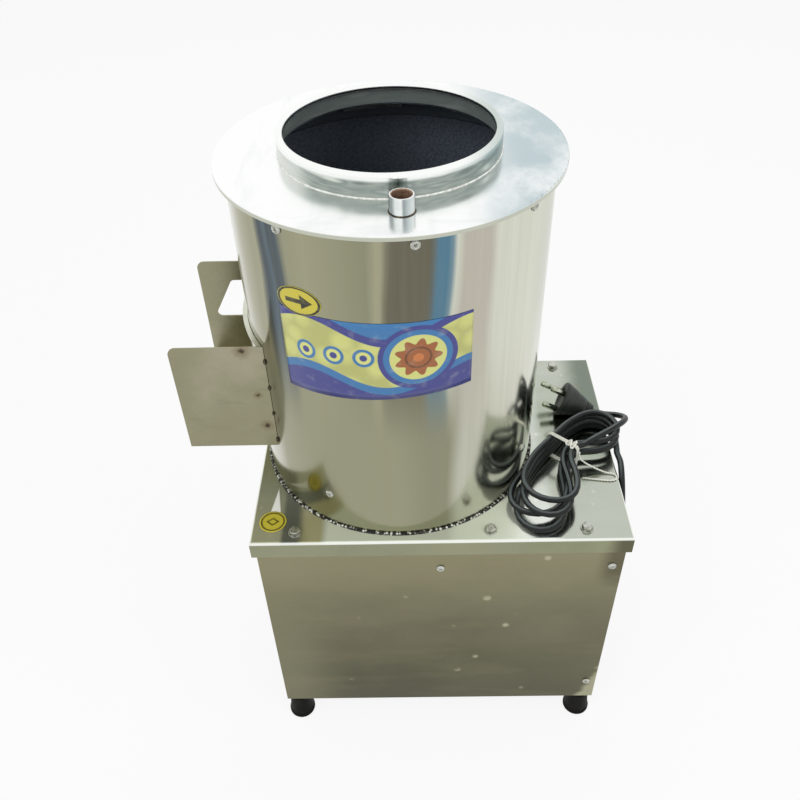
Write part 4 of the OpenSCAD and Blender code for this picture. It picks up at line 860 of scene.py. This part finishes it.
class PEELER_OT_stage(bpy.types.Operator):
    """Camera, lamps, floor and white surroundings"""
    bl_idname = "peeler.stage"
    bl_label = "Stage"

    def execute(self, context):
        scene = context.scene
        scene.view_settings.view_transform = "Standard"
        yaw, pitch, roll = CAMERA_YAW, CAMERA_PITCH, CAMERA_ROLL
        look = Vector((math.sin(yaw) * math.cos(pitch), math.cos(yaw) * math.cos(pitch), -math.sin(pitch)))
        side = Vector((math.cos(yaw), -math.sin(yaw), 0))
        rise = side.cross(look)
        right = side * math.cos(roll) + rise * math.sin(roll)
        up = rise * math.cos(roll) - side * math.sin(roll)
        data = bpy.data.cameras.new("camera")
        data.sensor_width, data.lens = CAMERA_SENSOR, CAMERA_LENS
        data.clip_start, data.clip_end = CAMERA_CLIP
        camera = bpy.data.objects.new("camera", data)
        camera.matrix_world = Matrix.Translation(CAMERA_PLACE) @ Matrix((right, up, -look)).transposed().to_4x4()
        scene.collection.objects.link(camera)
        scene.camera = camera

        bm = bmesh.new()
        bmesh.ops.create_grid(bm, x_segments=1, y_segments=1, size=FLOOR_SIZE)
        bmesh.ops.translate(bm, vec=(0, 0, -FLOOR_DROP), verts=bm.verts)
        mesh = bpy.data.meshes.new("floor")
        bm.to_mesh(mesh)
        bm.free()
        floor = bpy.data.objects.new("floor", mesh)
        f = Finish("floor_white", (0.86, 0.86, 0.86), 0.9)
        glow = f.add("Emission", {"Color": (1, 1, 1), "Strength": 1})
        share = f.calc("MULTIPLY", seen_rays(f.tree), FLOOR_GLOW)
        blend = f.add("MixShader", {0: share, 1: f.shader.outputs[0], 2: glow.outputs[0]})
        f.join(blend.outputs[0], f.tree.nodes["Material Output"].inputs["Surface"])
        mesh.materials.append(f.mat)
        scene.collection.objects.link(floor)

        scene.world = bpy.data.worlds.new("surroundings")
        scene.world.use_nodes = True
        tree = scene.world.node_tree
        ground = tree.nodes["Background"]
        ground.inputs["Color"].default_value = (1, 1, 1, 1)
        level = tree.nodes.new("ShaderNodeMapRange")
        level.inputs["To Min"].default_value, level.inputs["To Max"].default_value = WORLD_LIGHT, WORLD_SEEN
        tree.links.new(seen_rays(tree), level.inputs["Value"])
        tree.links.new(level.outputs["Result"], ground.inputs["Strength"])

        for name, place, size, power in LAMPS:
            lamp = bpy.data.lights.new(name, "AREA")
            lamp.size, lamp.energy = size, power
            holder = bpy.data.objects.new(name, lamp)
            aim = (LAMP_AIM - Vector(place)).to_track_quat("-Z", "Y").to_matrix().to_4x4()
            holder.matrix_world = Matrix.Translation(place) @ aim
            holder.visible_glossy = False
            scene.collection.objects.link(holder)
        return {"FINISHED"}


class PEELER_OT_lead(bpy.types.Operator):
    """Mains lead with its hank, its plug and pins, and the lead inside the base"""
    bl_idname = "peeler.lead"
    bl_label = "Mains lead"

    def execute(self, context):
        line = lead_line()
        cord = sizes().cord_diameter
        lead = settle(wire("mains_lead", [line], cord / 2, "cord_rubber"), ("cord_lead", "cord_hank", "cord_tail"))
        place = plug_frame()
        grip = [(0, 0), (6.6, 0), (7.2, 0.5), (7.2, 1.6), (6.3, 2), (6.3, 3), (8, 3.4), (8.3, 4.6), (7.2, 5),
                (7.2, 6), (8.9, 6.4), (9.4, 7.8), (8.4, 8.2), (8.4, 9.2), (10.4, 9.8), (12.2, 14), (13.8, 19),
                (15.4, 23), (16.6, 25.6), (16.4, 26.2), (17, 26.8), (17.6, 28.6), (17.4, 29.2), (18.1, 29.8),
                (18.7, 31.6), (18.4, 32.2), (19.1, 32.8), (20.4, 36.2), (20.6, 38), (20.1, 39.4), (19.2, 40),
                (12, 40), (11.6, 39.4), (0, 39.4)]
        plug = piece("plug_moulding", lathe(grip, place, 72), "moulded_plastic", ("plug_body",))
        pins = bmesh.new()
        turn = place @ upright(0, 0, grip[-1][1] * MM) @ Matrix.Rotation(math.radians(-80), 4, "Z")
        for x, y, r, long in ((-8, -11.5, 3.5, 18.6), (-8, 11.5, 3.5, 18.6), (15.5, 0, 3.3, 26.6)):
            shape = [(0, 0), (r, 0), (r, long - 2.2), (r * 0.9, long - 1), (r * 0.66, long - 0.25), (r * 0.3, long),
                     (0, long)]
            lathe(shape, turn @ upright(x * MM, y * MM, 0), 32, bm=pins)
        pins = piece("plug_contacts", pins, "pin_metal", ("plug_pins",))
        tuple(line[0])
        round(run_length(line), 3)
        low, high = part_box("inner_lead")
        _, y, z = middle("inner_lead")
        steps, sag = 12, 0.0008
        inner = [Vector((low.x + (high.x - low.x) * k / steps, y, z - sag * math.sin(math.pi * k / steps) ** 2))
                 for k in range(steps + 1)]
        settle(wire("inner_wire", [inner], cord / 2, "cord_rubber"), ("inner_lead",))
        return {"FINISHED"}


class PEELER_OT_twine(bpy.types.Operator):
    """Two-ply twine: band round the hank's waist, loose end and knot"""
    bl_idname = "peeler.twine"
    bl_label = "Twine"

    def execute(self, context):
        thick = sizes().twine_diameter
        ply = thick * PLY_SHARE
        waist = on_cover((HANK_X, HANK_Y, 0))
        along, across, up = turned(HANK_MID), turned(HANK_MID + 90), Vector((0, 0, 1))
        bend = TIE_ROUND + thick / MM / 2
        left, right = TIE_ROUND - TIE_LEFT, TIE_RIGHT - TIE_ROUND
        foot, top = TIE_FOOT + TIE_ROUND, TIE_TOP - TIE_ROUND
        corners = [(left, foot, 180), (right, foot, 270), (right, top, 0), (left, top, 90)]
        strands = []
        for shift in TIE_SHIFTS:
            ring = []
            for y, z, start in corners:
                for k in range(9):
                    a = math.radians(start + 90 * k / 8)
                    ring.append(waist + (along * shift + across * (y + bend * math.cos(a))
                                         + up * (z + bend * math.sin(a))) * MM)
            strands += plies(dense(ring + ring[:1], TIE_STEP)[:-1], thick / 2 - ply, 28, True)
        settle(as_mesh(wire("twine_band", strands, ply, "twine_fibre", True, 2)), ("tie_band",))
        line = dense(spline([on_cover(p) for p in TIE_RUN], 8), TIE_STEP)
        strands = plies(line, thick / 2 - ply, run_length(line) / PLY_PITCH)
        end = settle(as_mesh(wire("twine_end", strands, ply, "twine_fibre", sides=2)), ("tie_tail",))
        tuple(line[0])
        round(run_length(line), 3)
        bow = []
        for k in range(49):
            a = 2 * math.pi * k / 48
            bow.append(waist + (across * (KNOT_WIDE * math.sin(a) + KNOT_SIDE)
                                + along * (KNOT_LONG * math.sin(2 * a) + 1)
                                + up * (TIE_TOP + KNOT_RISE + 1.7 * math.cos(3 * a))) * MM)
        strands = plies(dense(bow, TIE_STEP)[:-1], thick / 2 - ply, 7, True)
        settle(as_mesh(wire("twine_knot", strands, ply, "twine_fibre", True, 2)))
        return {"FINISHED"}


class PEELER_OT_stickers(bpy.types.Operator):
    """Printed label and arrow sticker on the drum, round sticker on the cover"""
    bl_idname = "peeler.stickers"
    bl_label = "Stickers"

    def execute(self, context):
        high, wide, disc = sizes().label_height / 2, sizes().oval_width, sizes().disc_width / 2

        def label(u, v):
            return on_drum(LABEL_ANGLE + LABEL_SPAN * u, LABEL_Z + LABEL_LEAN * u + (high - LABEL_TAPER * u) * v)

        def oval(u, v):
            x, y = u * wide / 2, v * wide * OVAL_SHAPE
            c, s = math.cos(OVAL_LEAN), math.sin(OVAL_LEAN)
            return on_drum(OVAL_ANGLE + math.degrees((x * c - y * s) / sizes().drum_radius), OVAL_Z + x * s + y * c)

        def spot(u, v):
            return Vector((DISC_PLACE[0] + disc * u, DISC_PLACE[1] + disc * v, COVER_Z + STICKER_THICK))

        patch("label", label, (64, 12), "label_print")
        patch("arrow_oval", oval, (24, 16), "oval_print", True)
        patch("cover_disc", spot, (16, 16), "disc_print", True)
        return {"FINISHED"}


def screw(bm, place, shank):
    """Pan-head screw with a cross in its head, which points towards +Z."""
    head = [(0, -shank), (2.2, -shank), (2.5, 0.6 - shank), (2.5, 0), (4.7, 0), (4.75, 0.5), (4.4, 1.35), (3.6, 2.05),
            (2.5, 2.45), (1.9, 2.5), (1.5, 1.5), (0, 1.1)]
    lathe(head, place, 28, bm=bm)
    for turn in (45, 135):
        for side in (1, -1):
            at = place @ Matrix.Rotation(math.radians(turn), 4, "Z") @ upright(0.00125 * side, 0, 0.00175)
            bmesh.ops.create_cube(bm, size=1, matrix=at @ Matrix.Diagonal((0.0013, 0.0007, 0.0014, 1)))


def hexagon(bm, place, across, high):
    """Hexagon with a chamfer round its upper face."""
    r = across / 2 / math.cos(math.pi / 6)
    made = bmesh.ops.create_cone(bm, cap_ends=True, segments=6, radius1=r, radius2=r, depth=high,
                                 matrix=place @ upright(0, 0, high / 2))
    top = place @ Vector((0, 0, high))
    edges = {e for v in made["verts"] for e in v.link_edges if all((w.co - top).length < r * 1.05 for w in e.verts)}
    bmesh.ops.bevel(bm, geom=list(edges), offset=across * 0.06, offset_type="OFFSET", affect="EDGES", segments=2,
                    profile=0.5, material=-1)


class PEELER_OT_fasteners(bpy.types.Operator):
    """Bolts on the cover, screws in the drum and in the panels"""
    bl_idname = "peeler.fasteners"
    bl_label = "Fasteners"

    def execute(self, context):
        bolts, drum, panel = bmesh.new(), bmesh.new(), bmesh.new()
        washer_radius, head_radius, head_high, inset = 0.007, 0.00475, 0.0026, 0.0115
        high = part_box("cover_bolts")[1]
        right, rear = high.x - washer_radius, high.y - washer_radius
        spots = [(s * right, t * rear) for t in (-1, 1) for s in (-1, 1)]
        spots += [(DRUM_X + 0.095, -rear), (DRUM_X + 0.112, rear)]
        shank = ((0, -13.5), (2.5, -13.5), (3, -12.9), (3, 0), (6.6, 0), (7, 0.25), (7, 0.8), (6.7, 1), (0, 1))
        for k, (x, y) in enumerate(spots):
            place = upright(x, y, COVER_Z)
            lathe(shank, place, 36, bm=bolts)
            hexagon(bolts, place @ upright(0, 0, 0.001) @ Matrix.Rotation(0.3 + k, 4, "Z"), 0.01, 0.004)
        piece("cover_bolts_zinc", bolts, "zinc_plate", ("cover_bolts",), 0.0002, False)

        spots = [(angle, COVER_Z + 0.044) for angle in (-118, -28, 62, 152)]
        spots += [(-82 + 45 * k, FLANGE_Z - 0.014) for k in range(8)]
        for k, (angle, z) in enumerate(spots):
            place = facing(on_drum(angle, z, 0), turned(angle)) @ Matrix.Rotation(0.7 * k, 4, "Z")
            screw(drum, place, 5.5)
        piece("drum_screws_zinc", drum, "zinc_plate", ("drum_screws",))

        low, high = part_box("panel_screws")
        x_out, y_out = high.x - head_high, high.y - head_high
        z_top, z_low = high.z - head_radius, low.z + head_radius
        side = x_out - inset
        spots = [((x, y * y_out, z_top), (0, y, 0)) for y in (-1, 1) for x in (0, side)]
        spots += [((-side, y_out, z_top), (0, 1, 0)), ((side, -y_out, z_low), (0, -1, 0))]
        spots += [((s * x_out, y * (y_out - inset), z_top), (s, 0, 0)) for s in (-1, 1) for y in (-1, 1)]
        for k, (point, out) in enumerate(spots):
            screw(panel, facing(point, out) @ Matrix.Rotation(0.5 * k, 4, "Z"), 9)
        piece("panel_screws_zinc", panel, "zinc_plate", ("panel_screws",))
        return {"FINISHED"}


class PEELER_OT_feet(bpy.types.Operator):
    """Four rubber feet"""
    bl_idname = "peeler.feet"
    bl_label = "Feet"

    def execute(self, context):
        for name in ("foot_front_left", "foot_front_right", "foot_rear_left", "foot_rear_right"):
            low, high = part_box(name)
            top = (high.z - low.z) / MM
            flank = [(9, 12), (9, 0.9), (9.6, 0), (14.4, 0), (15.8, 0.7), (16.4, 1.9), (16.4, 4.4), (16, 5.4),
                     (15.4, 6.2), (15, 8), (14.6, 12), (13.9, 20), (13.2, 29), (12.6, 37), (12.35, top - 5.2),
                     (11.5, top - 4.6), (11.5, top - 3.6), (12.1, top - 3), (12, top - 0.7), (11.3, top), (4.3, top),
                     (4.3, 14), (9, 12)]
            x, y, _ = middle(name)
            piece(name + "_rubber", lathe(flank, upright(x, y, low.z), 64), "foot_rubber", (name,))
        return {"FINISHED"}


class PEELER_OT_inlet(bpy.types.Operator):
    """Water inlet pipe with its thread and a dark ring at its foot"""
    bl_idname = "peeler.inlet"
    bl_label = "Water inlet"

    def execute(self, context):
        low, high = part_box("water_inlet")
        x, y, _ = middle("water_inlet")
        top = (high.z - low.z) / MM
        flank = [(7.9, 0), (10.2, 0), (10.6, 0.4), (10.6, top - 0.9), (10.3, top - 0.25), (9.7, top), (9, top),
                 (8.6, top - 0.5)]
        for k in range(9):
            flank += [(7.95, top - 1.2 - 1.5 * k), (8.55, top - 1.9 - 1.5 * k)]
        pipe = lathe(flank + [(7.9, 8)], upright(x, y, low.z), 64, True)
        piece("inlet_pipe", pipe, "inlet_steel", ("water_inlet",))
        # A dark ring at the pipe's foot.
        seam = lathe([(10.6, 0), (11.6, 0), (11.3, 0.5), (10.6, 0.8)], upright(x, y, FLANGE_Z), 64, True)
        piece("inlet_dark_ring", seam, "weld_spot")
        return {"FINISHED"}


class PEELER_OT_gland(bpy.types.Operator):
    """Ribbed cable gland in the right panel"""
    bl_idname = "peeler.gland"
    bl_label = "Cable gland"

    def execute(self, context):
        _, y, z = middle("cable_gland")
        place = facing((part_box("right_panel")[1].x, y, z), (1, 0, 0))
        rib = [(3.7, -9.5), (8, -9.5), (8, 5), (9.2, 5), (9.4, 7), (8.6, 7.4), (8.6, 8.4), (8.7, 9), (8.5, 10.4),
               (7.7, 10.8), (7.7, 11.8), (7.8, 12.4), (7.5, 13.8), (6.8, 14.2), (6.8, 15.2), (6.9, 15.8), (6.6, 17.2),
               (5.9, 17.6), (5.9, 18.6), (6, 19.2), (5.6, 21.4), (5, 22), (3.7, 22)]
        bm = lathe(rib, place, 48, True)
        hexagon(bm, place, 0.022, 0.006)
        hexagon(bm, place @ upright(0, 0, -0.0065), 0.022, 0.005)
        piece("gland_moulding", bm, "moulded_plastic", ("cable_gland",), 0.0003, False)
        return {"FINISHED"}


class PEELER_OT_welds(bpy.types.Operator):
    """Collar seam, bead at the drum's foot and weld spots on the chute"""
    bl_idname = "peeler.welds"
    bl_label = "Welds"

    def execute(self, context):
        low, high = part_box("feed_collar")
        r = (high.x - low.x) / 2 / MM
        seam = [(r - 0.2, 0), (r + 1, 0), (r + 0.7, 0.6), (r + 0.2, 1), (r - 0.2, 1.1)]
        seam = lathe(seam, upright(DRUM_X, DRUM_Y, FLANGE_Z), 160, True)
        piece("collar_seam", seam, "seam_steel")
        radius = sizes().drum_radius
        r = radius / MM
        bead = [(r, 0), (r + 2.8, 0), (r + 2.4, 0.9), (r + 1.2, 1.7), (r + 0.2, 1.9), (r, 1.8)]
        bead = lathe(bead, upright(DRUM_X, DRUM_Y, COVER_Z + 0.0001), 200, True)
        bmesh.ops.bisect_plane(bead, geom=bead.verts[:] + bead.edges[:] + bead.faces[:],
                               plane_co=(0, COVER_HIGH.y - 0.003, 0), plane_no=(0, 1, 0), clear_outer=True)
        bmesh.ops.holes_fill(bead, edges=bead.edges, sides=8)
        piece("foot_bead", bead, "bead_sealant", ("base_bead",))
        welds = bmesh.new()
        for node, side in (("front_cheek", -1), ("rear_cheek", 1)):
            low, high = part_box(node)
            y = low.y if side < 0 else high.y
            x = DRUM_X - radius * math.cos(math.asin((y - DRUM_Y) / radius)) - 0.0006
            for z, wide in ((0.112, 1), (0.079, 0.8), (0.045, 0.7), (0.008, 1.1)):
                lump = Matrix.Diagonal((0.0017 * wide, 0.0016, 0.0034 * wide, 1))
                bmesh.ops.create_icosphere(welds, subdivisions=3, radius=1,
                                           matrix=upright(x, y + 0.0003 * side, low.z + z) @ lump)
        piece("cheek_welds", welds, "weld_spot")
        return {"FINISHED"}


class PEELER_OT_finishes(bpy.types.Operator):
    """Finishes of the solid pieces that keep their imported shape"""
    bl_idname = "peeler.finishes"
    bl_label = "Finishes"

    def execute(self, context):
        slots = {part["node"]: part["material_slot"] for part in frame["record"]["subparts"]}
        for name, obj in NODES.items():
            coat = finish(NODE_FINISH.get(name) or SLOT_FINISH[slots[name]])
            for holder in obj.material_slots:
                holder.material = coat
        return {"FINISHED"}


class PEELER_PT_panel(bpy.types.Panel):
    """Sidebar list of the machine's pieces"""
    bl_idname = "PEELER_PT_panel"
    bl_label = "Drum Peeler"
    bl_space_type = "VIEW_3D"
    bl_region_type = "UI"
    bl_category = "Peeler"

    def draw(self, context):
        for group in (context.scene.peeler_sizes, context.scene.peeler_colours):
            for key in group.__annotations__:
                self.layout.prop(group, key)
        for operator in OPERATORS:
            self.layout.operator(operator.bl_idname)


OPERATORS = (PEELER_OT_stage, PEELER_OT_lead, PEELER_OT_twine, PEELER_OT_stickers, PEELER_OT_fasteners,
             PEELER_OT_feet, PEELER_OT_inlet, PEELER_OT_gland, PEELER_OT_welds, PEELER_OT_finishes)
CLASSES = (PeelerSizes, PeelerColours, *OPERATORS, PEELER_PT_panel)


def register():
    for cls in CLASSES:
        bpy.utils.register_class(cls)
    bpy.types.Scene.peeler_sizes = bpy.props.PointerProperty(type=PeelerSizes)
    bpy.types.Scene.peeler_colours = bpy.props.PointerProperty(type=PeelerColours)


def unregister():
    del bpy.types.Scene.peeler_sizes, bpy.types.Scene.peeler_colours
    for cls in reversed(CLASSES):
        bpy.utils.unregister_class(cls)


def main():
    register()
    bpy.ops.peeler.stage()
    bpy.ops.peeler.lead()
    bpy.ops.peeler.twine()
    bpy.ops.peeler.stickers()
    bpy.ops.peeler.fasteners()
    bpy.ops.peeler.feet()
    bpy.ops.peeler.inlet()
    bpy.ops.peeler.gland()
    bpy.ops.peeler.welds()
    bpy.ops.peeler.finishes()
    bpy.context.view_layer.update()


if __name__ == "__main__":
    main()
